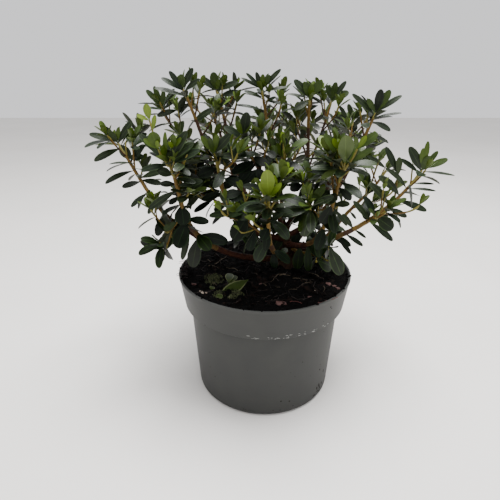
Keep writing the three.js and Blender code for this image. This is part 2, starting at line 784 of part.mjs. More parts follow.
// Each bough is cut clear of the trunk and of the boughs before it
const trunkSpace = toSolid(trunkGeometry(trunk, FACETED_CLEAR));
let taken = trunkSpace;
for (const limb of limbs.values()) {
  if (limb !== trunk) {
    const clear = boughSolid(limb, 0).subtract(taken);
    shrub.add(named(limb.name, toGeometry(clear), finish(COLOURS.bough, 0.8)));
    taken = taken.add(boughSolid(limb, FACETED_CLEAR));
  }
}

const grown = growShoots(limbs);
const limbMarks = [...limbs.values()].flatMap((limb) => {
  const points = samples(limb.curve, SAMPLE_STEP);
  return points.map((point, i) => ({ point, radius: taper(limb.radius)(i / (points.length - 1)) }));
});
MASSES.forEach((mass, index) => {
  const geometry = foliageGeometry(index, grown, limbMarks, trunkSpace);
  shrub.add(named(`foliage_${mass.name}`, geometry, finish(COLOURS.leaf, 0.5)));
});

export default shrub;
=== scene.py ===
# The looks of a small evergreen azalea shrub growing in its round nursery pot.
# Sizes are in millimetres and angles in degrees, up to the step that makes a mesh.
import itertools
import math

import bmesh
import bpy
import numpy as np
from mathutils import Euler, Matrix, Vector, noise


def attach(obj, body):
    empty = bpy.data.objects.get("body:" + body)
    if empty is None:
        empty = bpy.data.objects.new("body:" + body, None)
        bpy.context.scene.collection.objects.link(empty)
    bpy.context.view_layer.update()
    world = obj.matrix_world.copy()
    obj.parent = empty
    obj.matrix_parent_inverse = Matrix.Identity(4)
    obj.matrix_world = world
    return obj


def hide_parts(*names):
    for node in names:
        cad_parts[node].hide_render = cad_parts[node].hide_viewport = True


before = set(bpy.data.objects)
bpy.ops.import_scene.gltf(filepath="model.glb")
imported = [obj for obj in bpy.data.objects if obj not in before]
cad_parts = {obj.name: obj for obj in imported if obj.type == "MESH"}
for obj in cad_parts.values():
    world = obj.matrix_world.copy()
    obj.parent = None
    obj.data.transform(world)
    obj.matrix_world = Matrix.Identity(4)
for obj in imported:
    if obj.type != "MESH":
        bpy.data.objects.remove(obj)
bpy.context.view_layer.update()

MM = 0.001
UP = np.array([0.0, 0.0, 1.0])
# The gap between two solids that meet
CLEAR = 0.3
# Points nearer than this are one
MERGE_WITHIN = 1e-4

# Pot
POT_HEIGHT = 141
POT_BASE_RADIUS = 77.7
POT_BODY_RADIUS = 83.9
POT_BAND_RADIUS = 89.7
POT_RIM_RADIUS = 95.2
POT_BAND_FROM = 106.7
POT_WALL = 1.8
POT_FLOOR = 2.4
POT_LIP = 2.6
POT_STEPS = 160
FOOT_INSET = 3.5
FOOT_RISE = 2.5
BAND_SLOPE = 0.2
LIP_STEP = 0.7
LIP_SLOPE = 0.8
LIP_THICKER = 0.4
SHELF_RISE = 0.6
UNDER_SHELF = 0.01
FOOT_ROUND = 1.2
BAND_ROUND = 0.5
LIP_ROUND = 0.6
ROUND_STEPS = 3
ON_RING = 0.05
DRAIN_HOLES = 8
DRAIN_RADIUS = 4.5
DRAIN_RING = 64
DRAIN_STEPS = 28

# Potting mix: its waves are those of its solid, as turn per millimetre and phase
SOIL_TOP = 136
SOIL_WAVE = 1.6
SOIL_WAVE_X = (0.071, 1.3)
SOIL_WAVE_Y = (0.083, 0.4)
SOIL_WAVE_SLANT = 0.13
SOIL_EDGE_DROP = 1.5
SOIL_LEVEL_REACH = 17
SOIL_WAVE_REACH = 18
SOIL_SIDE_DROP = 3
SOIL_STEPS = 168
SOIL_RINGS = 62
SOIL_OUTER_RING = 0.996
# The loose top: features per millimetre and layer of the noise of clods, crumbs and grit
CLODS = (0.16, 5)
CRUMBS = (0.5, 2)
GRIT = (1.3, 8)
CLOD_HEIGHT = 1.5
CRUMB_HEIGHT = 1.0
GRIT_HEIGHT = 0.45
CALM_AT_EDGE = 0.3
CALM_REACH = 4
SOIL_HEAP = 4.6
HEAP_FROM = 0.6
HEAP_OVER = 0.34

# Litter and marks that the photo shows, as places on the mix or on the pot's wall.
# Chips: x, y, turn, half sizes
ROSY_CHIPS = [
    (13, -78, 0.3, (4.2, 3.0, 1.6)), (17, -76, 1.2, (3.0, 2.2, 1.4)), (74, -45, 1.5, (3.6, 2.0, 1.2)),
    (67, -35, 0.4, (3.4, 2.6, 1.0)), (71, -39, 2.0, (2.6, 1.8, 0.9)), (-2, -70, 0.8, (3.0, 2.2, 0.9)),
    (-74, -34, 1.0, (3.4, 2.0, 1.0)), (44, -62, 0.2, (3.0, 1.6, 0.8)), (-6, -30, 2.4, (2.4, 1.4, 0.8)),
]
# x, y, radius
PALE_LUMPS = [
    (-64, -56, 2.2), (-60, -54, 1.8), (-66, -53, 1.5), (6, -66, 1.2), (-36, -62, 1.1), (50, -50, 1.0),
]
# x, y, bearing, length, radius, finish
LAID_STRAWS = [
    (-57, 16, 58, 27, 0.5, 1), (49, -74, 8, 20, 0.6, 2), (24, -8, 200, 24, 0.4, 1),
    (52, -22, 168, 22, 0.45, 1), (60, -12, 130, 14, 0.4, 1), (-30, 4, 150, 18, 0.4, 1),
    (38, -34, 20, 14, 0.35, 1), (20, -72, -10, 14, 0.5, 2),
]
# x, y, reach along x, reach along y, blades
MOSS_PATCHES = [(-55, -20, 11, 17, 420), (-47, -58, 6, 7, 110), (-28, -54, 7, 5, 90), (-34, -62, 5, 4, 60)]
# Foot, tip, lift at both, width, bend
FALLEN_LEAVES = [
    ((-18, -30), (-43, -57), (5.0, 2.0), 13.5, 12), ((-39, -32), (-38, -9), (1.5, 6.0), 9.5, 14),
    ((-56, -49), (-54, -42), (1.5, 2.5), 6.0, 10), ((-50, -60), (-43, -64), (1.5, 2.5), 5.0, 10),
    ((-38, -30), (-30, -12), (1.0, 4.0), 6.5, 20),
]
# Bearing round the pot, height, half width and half height
DIRT_SPECKS = [
    (-40.7, 41.7, 1.0, 0.9), (-33, 33, 0.6, 2.4), (-38, 17, 0.9, 2.6), (-41, 15, 1.0, 2.0),
    (-35.5, 12, 0.8, 3.0), (-33, 15, 0.5, 2.4), (-39.4, 9.0, 1.5, 1.0), (-44.1, 7.2, 2.4, 0.8),
    (-36, 6.5, 1.8, 0.9), (-77.6, 19.9, 0.9, 0.8), (-70.5, 17.2, 1.0, 0.8), (-47.6, 131, 0.9, 0.7),
    (-46.4, 128.5, 0.6, 0.5), (-20.6, 11.9, 0.8, 1.6), (-14, 74, 0.6, 0.9),
]
FINE_SPECKS = 90
SCUFF_BEARINGS = (-98, -86, -78, -68, -60, -48, 30, 118, 204)
SCUFFS_EACH = 7

# Trunk
FOOT_X = 28
FOOT_Y = 18
TRUNK_HEIGHT = 44
TRUNK_LEAN = (-5, -3)
TRUNK_FORK_WAY = (-0.2, -0.1, 1)
TRUNK_RADII = (7, 5.4)
ROOT_FLARE = 4.2
FLARE_FALL = 6
ROOT_LOBES = 4
LOBE_DEPTH = 0.16

# How far a limb keeps the way that it starts and ends with, as a share of its span
CURVE_HANDLE = 0.33
CURVE_SAMPLES = 201
WAY_STEP = 0.002

# Main shoots
SHOOT_TIP_RADIUS = 1.3
SHOOT_END_RISE = 84
RISE_LOST_PER_MM = 0.17
FORK_AT = 0.1
FORK_APART = 0.13
FORK_TURN = 0.6
TRUNK_SPUR_AT = 0.5
TRUNK_SPUR_RADIUS = 1.9
TRUNK_SPUR_RISE = 8
TRUNK_SPUR_START = 2
MAIN_STEPS = 4

# Side shoots
SIDE_TIP_RADIUS = 1.1
SIDE_FROM = 0.5
SIDE_RANGE = 0.34
SIDE_LEAN = 40
SIDE_LEAN_SPREAD = 16
SIDE_SHOOT_LENGTH = 27
SIDE_SHORTEST = 0.85
SIDE_SPREAD = 0.35
SIDE_LIFT = 0.2
SIDE_WAYS = 9
SIDE_ROOM = 9
SIDE_ABOVE_RIM = 12
FORK_SHARE = 0.5
SAMPLE_STEP = 2.5
SEED = 41
FINE_SEED = 3 * SEED
LEAF_SEED = 7 * SEED
HANGING_SEED = 11 * SEED

# Finest twigs, by the same rule: forks near a shoot's tip that reach as high as it does
# (distance back from the tip, lean, length, room), and a few in the open inside
FORKS_OF_MAIN = [(19, 30, 16, 6), (14, 36, 13, 6), (9, 40, 10, 5.5)]
FORKS_OF_SIDE = [(11, 36, 11.5, 5.5)]
FORKS_WHERE_SPARSE = 1
HIGH_TIP = 150
INNER_AT = 0.42
INNER_TWIG = (48, 16, 11)
LEAN_GIVE = 8
FINE_TIP_RADIUS = 0.8
FORKS_WITHIN = 0.8

# Leaves that the sparser masses keep, as a share of the rest's
FULLNESS = {
    "far_right": 0.2, "right_mid": 0.08, "far_left": 0.6, "left_front": 0.8, "left_upper": 0.72,
    "top_left": 0.58, "centre_top": 0.5, "right_top": 0.52, "right_upper": 0.62, "back_mid": 0.5,
    "back_right": 0.5, "back_left": 0.5, "low_right": 0.2,
}
SPARSE_BELOW = 0.7

# A bearing is in degrees from +X towards +Y, round the trunk's foot. A reach is
# the distance out from the foot, a height the distance above the potting mix.
# Name, parent, where it leaves it, tip, rise at its start and its tip, radii.
BOUGHS = [
    ("left_low", "trunk", 0.24, (208, 113, 62), (3, 55), (4.0, 2.6)),
    ("right_low", "trunk", 0.30, (333, 63, 50), (14, 34), (3.8, 2.6)),
    ("front_low", "trunk", 0.36, (250, 66, 47), (10, 45), (3.4, 2.4)),
    ("back_left", "trunk", 0.42, (137, 65, 58), (12, 50), (3.4, 2.4)),
    ("back_right", "trunk", 0.50, (46, 60, 58), (12, 50), (3.4, 2.4)),
    ("right_front", "trunk", 0.62, (292, 60, 56), (12, 50), (3.2, 2.4)),
    ("back_mid", "trunk", 0.70, (96, 52, 64), (18, 55), (3.2, 2.4)),
    ("left_mid", "trunk", 0.74, (203, 60, 60), (20, 50), (3.4, 2.4)),
    ("right_upper", "trunk", 0.80, (350, 40, 74), (35, 60), (3.4, 2.4)),
    ("top_left", "trunk", 0.88, (160, 52, 80), (30, 62), (3.2, 2.4)),
    ("centre_front", "trunk", 0.94, (240, 28, 72), (40, 70), (3.0, 2.3)),
    ("centre_top", "trunk", 1.0, (140, 20, 80), (70, 80), (3.4, 2.4)),
    ("right_top", "trunk", 1.0, (20, 16, 80), (60, 78), (3.2, 2.4)),
    ("far_left", "left_low", 0.90, (190, 142, 79), (18, 48), (2.6, 2.1)),
    ("left_upper", "left_mid", 0.62, (183, 70, 82), (45, 62), (2.7, 2.2)),
    ("right_mid", "right_low", 0.48, (8, 60, 52), (25, 40), (2.7, 2.1)),
]

# Name, the limb that it stands on, its main shoots' tips, side shoots on each of them
MASSES = [
    ("far_left", "far_left", [(181, 181, 141)], 3),
    ("left_front", "left_low", [(210, 136, 133), (203, 140, 62)], 2),
    ("left_upper", "left_upper", [(179, 111, 192), (164, 148, 171)], 2),
    ("left_mid", "left_mid", [(217, 96, 138), (189, 110, 104)], 2),
    ("top_left", "top_left", [(158, 87, 192), (146, 108, 172)], 2),
    ("centre_top", "centre_top", [(145, 39, 191), (112, 62, 160)], 2),
    ("centre_front", "centre_front", [(217, 63, 151), (250, 34, 128)], 2),
    ("front_low", "front_low", [(255, 112, 110), (231, 88, 87)], 2),
    ("right_top", "right_top", [(7, 16, 183), (28, 47, 180), (80, 44, 160)], 2),
    ("right_upper", "right_upper", [(354, 81, 170), (30, 82, 158)], 2),
    ("right_front", "right_front", [(289, 103, 137), (276, 80, 98)], 2),
    ("far_right", "right_low", [(352, 133, 116), (330, 104, 84)], 2),
    ("right_mid", "right_mid", [(12, 112, 108), (354, 88, 80)], 2),
    ("back_left", "back_left", [(133, 128, 158), (118, 138, 122), (150, 158, 116)], 2),
    ("back_mid", "back_mid", [(98, 118, 150), (82, 136, 112)], 2),
    ("back_right", "back_right", [(55, 112, 152), (36, 128, 122), (64, 138, 96)], 2),
    ("low_right", "trunk", [(306, 62, 44)], 1),
]


def unit(vector):
    vector = np.asarray(vector, float)
    return vector / np.linalg.norm(vector)


def random_from(seed):
    """Seeded random numbers from 0 to 1, the same as the solids grow by."""
    mask = 0xFFFFFFFF
    state = seed & mask

    def draw():
        nonlocal state
        state = (state + 0x6D2B79F5) & mask
        mixed = ((state ^ (state >> 15)) * (state | 1)) & mask
        mixed ^= (mixed + (((mixed ^ (mixed >> 7)) * (mixed | 61)) & mask)) & mask
        return ((mixed ^ (mixed >> 14)) & mask) / (mask + 1)

    return draw


# The skeleton of limbs and shoots


class Limb:
    """A cubic curve with a radius at its start and at its tip."""

    def __init__(self, start, start_way, end, end_way, radii):
        start, end = np.asarray(start, float), np.asarray(end, float)
        handle = CURVE_HANDLE * np.linalg.norm(end - start)
        self.knots = [start, start + start_way * handle, end - end_way * handle, end]
        self.radii = radii
        self.measure()

    def measure(self):
        self.times = np.linspace(0, 1, CURVE_SAMPLES)
        gaps = np.linalg.norm(np.diff(self.at(self.times), axis=0), axis=1)
        self.travel = np.concatenate([[0], np.cumsum(gaps)])
        self.length = self.travel[-1]

    def at(self, time):
        t = np.asarray(time, float)[..., None]
        a, b, c, d = self.knots
        return (1 - t) ** 3 * a + 3 * (1 - t) ** 2 * t * b + 3 * (1 - t) * t * t * c + t ** 3 * d

    def time(self, along):
        return np.interp(np.asarray(along) * self.length, self.travel, self.times)

    def place(self, along):
        """Point and direction at a share of the limb's length."""
        time = self.time(along)
        ahead, behind = min(1, time + WAY_STEP), max(0, time - WAY_STEP)
        return self.at(time), unit(self.at(ahead) - self.at(behind))

    def radius(self, along):
        return self.radii[0] + (self.radii[1] - self.radii[0]) * along

    def marks(self):
        count = max(2, math.ceil(self.length / SAMPLE_STEP))
        return self.at(np.linspace(0, 1, count + 1))


class Shoot(Limb):
    """A leafy shoot. It grows side shoots from the straight lengths that its solid has."""

    def __init__(self, start, start_way, end, end_way, radii, grade):
        super().__init__(start, start_way, end, end_way, radii)
        self.grade = grade
        self.steps = MAIN_STEPS if grade == "main" else 1
        self.joints = self.at(self.time(np.linspace(0, 1, self.steps + 1)))

    def joint_place(self, along):
        step = min(self.steps - 1, math.floor(along * self.steps))
        way = self.joints[step + 1] - self.joints[step]
        return self.joints[step] + way * (along * self.steps - step), unit(way)

    def marks(self):
        count = math.ceil(self.length / SAMPLE_STEP)
        return np.array([self.joint_place(i / count)[0] for i in range(count + 1)])

    def start_from(self, point):
        """Moves the foot of the shoot onto its parent's curved line."""
        shift = point - self.knots[0]
        self.knots[0] = self.knots[0] + shift
        self.knots[1] = self.knots[1] + shift
        self.measure()


def spot(tip):
    bearing, reach, height = tip
    turn = math.radians(bearing)
    return np.array([FOOT_X + reach * math.cos(turn), FOOT_Y + reach * math.sin(turn), SOIL_TOP + height])


def heading(start, end, rise):
    """A direction with the bearing of one point seen from another and a given rise."""
    flat = unit([end[0] - start[0], end[1] - start[1], 0])
    return flat * math.cos(math.radians(rise)) + UP * math.sin(math.radians(rise))


def make_limbs():
    foot = np.array([FOOT_X, FOOT_Y, SOIL_TOP + CLEAR])
    fork = foot + (*TRUNK_LEAN, TRUNK_HEIGHT)
    limbs = {"trunk": Limb(foot, UP, fork, unit(TRUNK_FORK_WAY), TRUNK_RADII)}
    for name, parent, at, tip, rise, radii in BOUGHS:
        start, end = limbs[parent].at(at), spot(tip)
        ways = [heading(start, end, angle) for angle in rise]
        limbs[name] = Limb(start, ways[0], end, ways[1], radii)
    return limbs


def shoot_end_way(start, end):
    reach = math.hypot(end[0] - FOOT_X, end[1] - FOOT_Y)
    return heading(start, end, SHOOT_END_RISE - reach * RISE_LOST_PER_MM)


def main_shoots(limb_name, tips, limbs):
    shoots = []
    for order, tip in enumerate(tips):
        end = spot(tip)
        if order:
            at = FORK_AT + FORK_APART * order
            start, fork_way = shoots[0].joint_place(at)
            way = unit(fork_way * (1 - FORK_TURN) + unit(end - start) * FORK_TURN)
            radii = (FORK_SHARE * shoots[0].radius(at), SHOOT_TIP_RADIUS)
        elif limb_name == "trunk":
            middle = limbs["trunk"].at(TRUNK_SPUR_AT)
            way = heading(middle, end, TRUNK_SPUR_RISE)
            start = middle + way * TRUNK_SPUR_START
            radii = (TRUNK_SPUR_RADIUS, SHOOT_TIP_RADIUS)
        else:
            bough = limbs[limb_name]
            way = bough.place(1)[1]
            start = bough.at(1) + way * CLEAR
            radii = (bough.radii[1], SHOOT_TIP_RADIUS)
        shoot = Shoot(start, way, end, shoot_end_way(start, end), radii, "main")
        if order:
            shoot.start_from(shoots[0].place(at)[0])
        shoots.append(shoot)
    return shoots


def nearest(point, others):
    return math.sqrt(((others - point) ** 2).sum(axis=1).min())


def leaning(axis, turn, lean):
    """A direction that leans off an axis, turned round it."""
    guide = np.array([0.0, 1, 0]) if abs(axis[0]) > 0.9 else np.array([1.0, 0, 0])
    first = unit(guide - axis * guide.dot(axis))
    second = np.cross(axis, first)
    out = first * math.cos(turn) + second * math.sin(turn)
    return axis * math.cos(lean) + out * math.sin(lean)


def side_shoot(parent, at, random, taken, limb_points, grade, form):
    """A side shoot takes the emptiest of the directions round its parent. Its form is
    its least lean, the spread of that, its full length, least room and tip radius."""
    least_lean, lean_spread, full, least_room, tip_radius = form
    start, axis = parent.joint_place(at)
    lean = math.radians(least_lean + lean_spread * random())
    length = full * (SIDE_SHORTEST + SIDE_SPREAD * random())
    first_turn = random() * math.tau
    best = None
    for step in range(SIDE_WAYS):
        way = leaning(axis, first_turn + step * math.tau / SIDE_WAYS, lean)
        end = start + way * length + UP * length * SIDE_LIFT
        room = min(nearest(end, taken), nearest(end, limb_points))
        if end[2] > POT_HEIGHT + SIDE_ABOVE_RIM and (best is None or room > best[0]):
            best = (room, end, way)
    if best is None or best[0] < least_room:
        return None
    radii = (FORK_SHARE * parent.radius(at), tip_radius)
    shoot = Shoot(start, best[2], best[1], shoot_end_way(start, best[1]), radii, grade)
    shoot.start_from(parent.place(at)[0])
    return shoot


def fine_forms(parent, fullness):
    """Where the finest twigs leave a shoot, and the form of each."""
    rows = FORKS_OF_MAIN if parent.grade == "main" else FORKS_OF_SIDE
    if parent.knots[3][2] > SOIL_TOP + HIGH_TIP or fullness < SPARSE_BELOW:
        rows = rows[:FORKS_WHERE_SPARSE] if parent.grade == "main" else []
    for back, lean, length, room in rows:
        if back < parent.length * FORKS_WITHIN:
            yield 1 - back / parent.length, (lean, LEAN_GIVE, length, room, FINE_TIP_RADIUS)
    if parent.grade == "main":
        lean, length, room = INNER_TWIG
        yield INNER_AT, (lean, LEAN_GIVE, length, room, FINE_TIP_RADIUS)


def grow_shoots(limbs):
    grown = [main_shoots(on, tips, limbs) for _, on, tips, _ in MASSES]
    side_form = (SIDE_LEAN, SIDE_LEAN_SPREAD, SIDE_SHOOT_LENGTH, SIDE_ROOM, SIDE_TIP_RADIUS)
    limb_points = np.concatenate([limb.marks() for limb in limbs.values()])
    taken = [shoot.marks() for shoots in grown for shoot in shoots]
    for index, (_, _, _, sides) in enumerate(MASSES):
        random = random_from(SEED + index)
        for parent in list(grown[index]):
            for order in range(sides):
                at = SIDE_FROM + SIDE_RANGE * (order + 0.5) / sides
                side = side_shoot(parent, at, random, np.concatenate(taken), limb_points, "side", side_form)
                if side:
                    grown[index].append(side)
                    taken.append(side.marks())
    for index, shoots in enumerate(grown):
        random = random_from(FINE_SEED + index)
        for parent in list(shoots):
            for at, form in fine_forms(parent, FULLNESS.get(MASSES[index][0], 1)):
                twig = side_shoot(parent, at, random, np.concatenate(taken), limb_points, "fine", form)
                if twig:
                    shoots.append(twig)
                    taken.append(twig.marks())
    return grown


# Meshes


def finished_object(name, mesh, materials, smooth_angle=40):
    for material in materials:
        mesh.materials.append(material)
    mesh.update()
    mesh.polygons.foreach_set("use_smooth", [True] * len(mesh.polygons))
    mesh.set_sharp_from_angle(angle=math.radians(smooth_angle))
    piece = bpy.data.objects.new(name, mesh)
    bpy.context.scene.collection.objects.link(piece)
    return piece


def object_from_bmesh(name, bm, materials, smooth_angle=40):
    """Makes a piece in metres of a bmesh that is in millimetres."""
    bmesh.ops.scale(bm, vec=(MM, MM, MM), verts=bm.verts)
    mesh = bpy.data.meshes.new(name)
    bm.to_mesh(mesh)
    bm.free()
    return finished_object(name, mesh, materials, smooth_angle)


def pattern_of(bm):
    """A small bmesh as arrays, to be copied many times over."""
    bm.verts.index_update()
    points = np.array([vert.co for vert in bm.verts])
    faces = [[vert.index for vert in face.verts] for face in bm.faces]
    slots = np.array([face.material_index for face in bm.faces])
    bm.free()
    return points, faces, slots


def joined_copies(name, pattern, placed_points, materials, smooth_angle=75):
    """One mesh of many copies of a pattern, whose points are given for each copy."""
    points, faces, slots = pattern
    copies = len(placed_points)
    mesh = bpy.data.meshes.new(name)
    sizes = np.array([len(face) for face in faces])
    corners = np.concatenate(faces)
    shifts = np.arange(copies) * len(points)
    loops = (corners[None, :] + shifts[:, None]).ravel()
    starts = np.concatenate([[0], np.cumsum(np.tile(sizes, copies))[:-1]])
    mesh.vertices.add(copies * len(points))
    mesh.vertices.foreach_set("co", (np.asarray(placed_points) * MM).ravel().astype(np.float32))
    mesh.loops.add(len(loops))
    mesh.loops.foreach_set("vertex_index", loops.astype(np.int32))
    mesh.polygons.add(copies * len(faces))
    mesh.polygons.foreach_set("loop_start", starts.astype(np.int32))
    mesh.polygons.foreach_set("material_index", np.tile(slots, copies).astype(np.int32))
    mesh.update(calc_edges=True)
    mesh.validate()
    return finished_object(name, mesh, materials, smooth_angle)


def next_ring(bm, ring, turns, slot):
    """Extrudes a limb's last ring. The points of the new one keep their turns."""
    edges = {edge for vert in ring for edge in vert.link_edges if edge.other_vert(vert) in ring}
    made = bmesh.ops.extrude_edge_only(bm, edges=list(edges))["geom"]
    before = {tuple(vert.co): turn for vert, turn in zip(ring, turns)}
    for item in made:
        if isinstance(item, bmesh.types.BMFace):
            item.material_index = slot
    ring = [item for item in made if isinstance(item, bmesh.types.BMVert)]
    return ring, [before[tuple(vert.co)] for vert in ring]


def add_limb(bm, points, sides, radius_at, slot_at=lambda along: 0):
    """A closed round limb drawn through points, ring by ring. radius_at takes the
    share along it, the distance along it and the turn round it."""
    points = np.asarray(points)
    ways = np.gradient(points, axis=0)
    ways /= np.linalg.norm(ways, axis=1)[:, None]
    travel = np.concatenate([[0], np.cumsum(np.linalg.norm(np.diff(points, axis=0), axis=1))])
    across = leaning(ways[0], 0, math.pi / 2)
    ring = bmesh.ops.create_circle(bm, cap_ends=False, segments=sides, radius=1)["verts"]
    turns = [round(math.atan2(vert.co.y, vert.co.x) / math.tau * sides) % sides for vert in ring]
    first_ring, slot = ring, slot_at(0)
    for number, (point, way) in enumerate(zip(points, ways)):
        if number:
            slot = slot_at(number / (len(points) - 1))
            ring, turns = next_ring(bm, ring, turns, slot)
        across = unit(across - way * across.dot(way))
        second = np.cross(way, across)
        share = travel[number] / travel[-1]
        for vert, turn in zip(ring, turns):
            angle = turn * math.tau / sides
            out = across * math.cos(angle) + second * math.sin(angle)
            vert.co = point + out * radius_at(share, travel[number], angle)
    for end in (first_ring, ring):
        for face in bmesh.ops.contextual_create(bm, geom=end)["faces"]:
            face.material_index = slot


def place_at(points, matrices):
    """The points of a pattern under each of several 4 by 4 matrices."""
    padded = np.concatenate([points, np.ones((len(points), 1))], axis=1)
    return np.einsum("kij,nj->kni", matrices, padded)[:, :, :3]


# Materials

# Where the colours of a mottled finish lie along its noise
TWO_STOPS = (0.3, 0.7)
BARK_STOPS = (0.25, 0.55, 0.8)
SOIL_STOPS = (0.3, 0.6, 0.85)
MOTTLE_DETAIL = 4
SOIL_DETAIL = 8
RELIEF_DETAIL = 3
# Places of the stops, colours, features of the mottle per metre, least and most
# roughness, features of the relief per metre, its depth, specular
FINISHES = {
    "twig_old": (TWO_STOPS, ((44, 29, 20), (68, 46, 28)), 400, (0.6, 0.8), 1500, 0.15, 0.2),
    "twig_tan": (TWO_STOPS, ((80, 60, 20), (104, 81, 32)), 400, (0.5, 0.65), 1500, 0.1, 0.2),
    "twig_green": (TWO_STOPS, ((90, 84, 18), (114, 104, 30)), 400, (0.45, 0.6), 1500, 0.08, 0.5),
    "bark_red": (BARK_STOPS, ((30, 15, 10), (52, 27, 18), (78, 50, 32)), 260, (0.65, 0.85), 1100, 0.35, 0.12),
    "bark_tan": (BARK_STOPS, ((52, 36, 18), (76, 58, 28), (98, 78, 42)), 260, (0.65, 0.85), 1100, 0.3, 0.15),
    "bark_old": (BARK_STOPS, ((26, 17, 12), (50, 34, 24), (76, 57, 41)), 220, (0.7, 0.9), 900, 0.5, 0.12),
    "pot_plastic": (TWO_STOPS, ((49, 50, 49), (55, 56, 54)), 38, (0.5, 0.62), 260, 0.06, 0.2),
    "soil_mix": (SOIL_STOPS, ((1, 1, 1), (3, 2, 2), (12, 8, 6)), 420, (0.8, 0.98), 1600, 0.6, 0.08),
    "crumb_peat": (TWO_STOPS, ((1, 1, 1), (6, 4, 3)), 300, (0.8, 0.95), 1500, 0.3, 0.08),
    "crumb_brown": (TWO_STOPS, ((9, 5, 4), (26, 16, 12)), 300, (0.8, 0.95), 1500, 0.3, 0.1),
    "chip_rosy": (TWO_STOPS, ((70, 46, 44), (104, 78, 74)), 300, (0.75, 0.9), 1500, 0.3, 0.2),
    "lump_pale": (TWO_STOPS, ((120, 104, 92), (158, 146, 132)), 300, (0.7, 0.9), 1500, 0.3, 0.5),
    "fibre_dark": (TWO_STOPS, ((16, 10, 7), (38, 25, 18)), 300, (0.7, 0.9), 1500, 0.1, 0.5),
    "fibre_straw": (TWO_STOPS, ((62, 52, 40), (92, 80, 62)), 300, (0.7, 0.9), 1500, 0.1, 0.5),
    "fibre_red": (TWO_STOPS, ((58, 22, 20), (84, 38, 32)), 300, (0.6, 0.8), 1500, 0.1, 0.5),
    "moss": (TWO_STOPS, ((44, 50, 30), (92, 98, 66)), 500, (0.7, 0.9), 1500, 0.2, 0.2),
    "dirt_speck": (TWO_STOPS, ((14, 11, 9), (34, 28, 22)), 600, (0.85, 0.95), 1500, 0.2, 0.2),
    "pale_scuff": (TWO_STOPS, ((112, 113, 110), (140, 141, 137)), 600, (0.6, 0.7), 1500, 0.05, 0.5),
    "studio_floor": (TWO_STOPS, ((222, 219, 214), (228, 225, 221)), 3, (0.6, 0.7), 30, 0.02, 0.5),
}
# The mottle and relief of a leaf, per metre, and the depth of its relief
LEAF_MOTTLE = 130
LEAF_RELIEF = (700, 0.12)
LEAF_ROUGHNESS = (0.34, 0.46)
UNDER_ROUGHNESS = (0.5, 0.6)
UNDER_SHINE = 0.26
# The pot is darkened by painted shade below this height, darkest at its foot, by this share
FOOT_SHADE_HEIGHT = 90
FOOT_SHADE_MOST = 0.38
FOOT_SHADE_COLOUR = (36, 36, 34)
# The heights over the lip's lower edge between which its painted highlight sets in, a paler colour where the
# rounded lip catches the light
LIP_HIGHLIGHT_BETWEEN = (-0.2, 0.5)
LIP_HIGHLIGHT_COLOUR = (60, 61, 59)


def linear(colour):
    """A plain screen colour, 0 to 255, as the linear values that a shader takes."""
    shares = [value / 255 for value in colour]
    return [share / 12.92 if share <= 0.04045 else ((share + 0.055) / 1.055) ** 2.4 for share in shares]


def add_noise(tree, scale, detail):
    where = tree.nodes.new("ShaderNodeTexCoord")
    texture = tree.nodes.new("ShaderNodeTexNoise")
    texture.inputs["Scale"].default_value = scale
    texture.inputs["Detail"].default_value = detail
    tree.links.new(where.outputs["Object"], texture.inputs["Vector"])
    return texture.outputs["Fac"]


def add_ramp(tree, source, stops, colours):
    ramp = tree.nodes.new("ShaderNodeValToRGB")
    elements = ramp.color_ramp.elements
    while len(elements) < len(stops):
        elements.new(0.5)
    for element, position, colour in zip(elements, stops, colours):
        element.position = position
        element.color = (*linear(colour), 1)
    tree.links.new(source, ramp.inputs["Fac"])
    return ramp.outputs["Color"]


def add_range(tree, source, limits):
    """Maps a value from one range to another, by the limits that are given."""
    spread = tree.nodes.new("ShaderNodeMapRange")
    for limit, value in limits.items():
        spread.inputs[limit].default_value = value
    tree.links.new(source, spread.inputs["Value"])
    return spread.outputs["Result"]


def add_coat(tree, share, under, colour):
    """Lays a plain colour over another by a share."""
    coat = tree.nodes.new("ShaderNodeMix")
    coat.data_type = "RGBA"
    coat.inputs["B"].default_value = (*linear(colour), 1)
    tree.links.new(share, coat.inputs["Factor"])
    tree.links.new(under, coat.inputs["A"])
    return coat.outputs["Result"]


def make_material(name, row, detail=MOTTLE_DETAIL):
    """A mottled finish: colours mixed by one noise, fine relief by another."""
    stops, colours, scale, roughness, relief_scale, relief_depth, specular = row
    material = bpy.data.materials.new(name)
    material.use_nodes = True
    tree = material.node_tree
    shader = tree.nodes["Principled BSDF"]
    shader.inputs["Specular IOR Level"].default_value = specular
    mottle = add_noise(tree, scale, detail)
    tree.links.new(add_ramp(tree, mottle, stops, colours), shader.inputs["Base Color"])
    spread = add_range(tree, mottle, {"To Min": roughness[0], "To Max": roughness[1]})
    tree.links.new(spread, shader.inputs["Roughness"])
    bump = tree.nodes.new("ShaderNodeBump")
    bump.inputs["Distance"].default_value = relief_depth * MM
    tree.links.new(add_noise(tree, relief_scale, RELIEF_DETAIL), bump.inputs["Height"])
    tree.links.new(bump.outputs["Normal"], shader.inputs["Normal"])
    return material


def finish(name, detail=MOTTLE_DETAIL):
    return make_material(name, FINISHES[name], detail)


def leaf_material(name, colours, roughness=LEAF_ROUGHNESS, shine=UNDER_SHINE):
    return make_material(name, (TWO_STOPS, colours, LEAF_MOTTLE, roughness, *LEAF_RELIEF, shine))


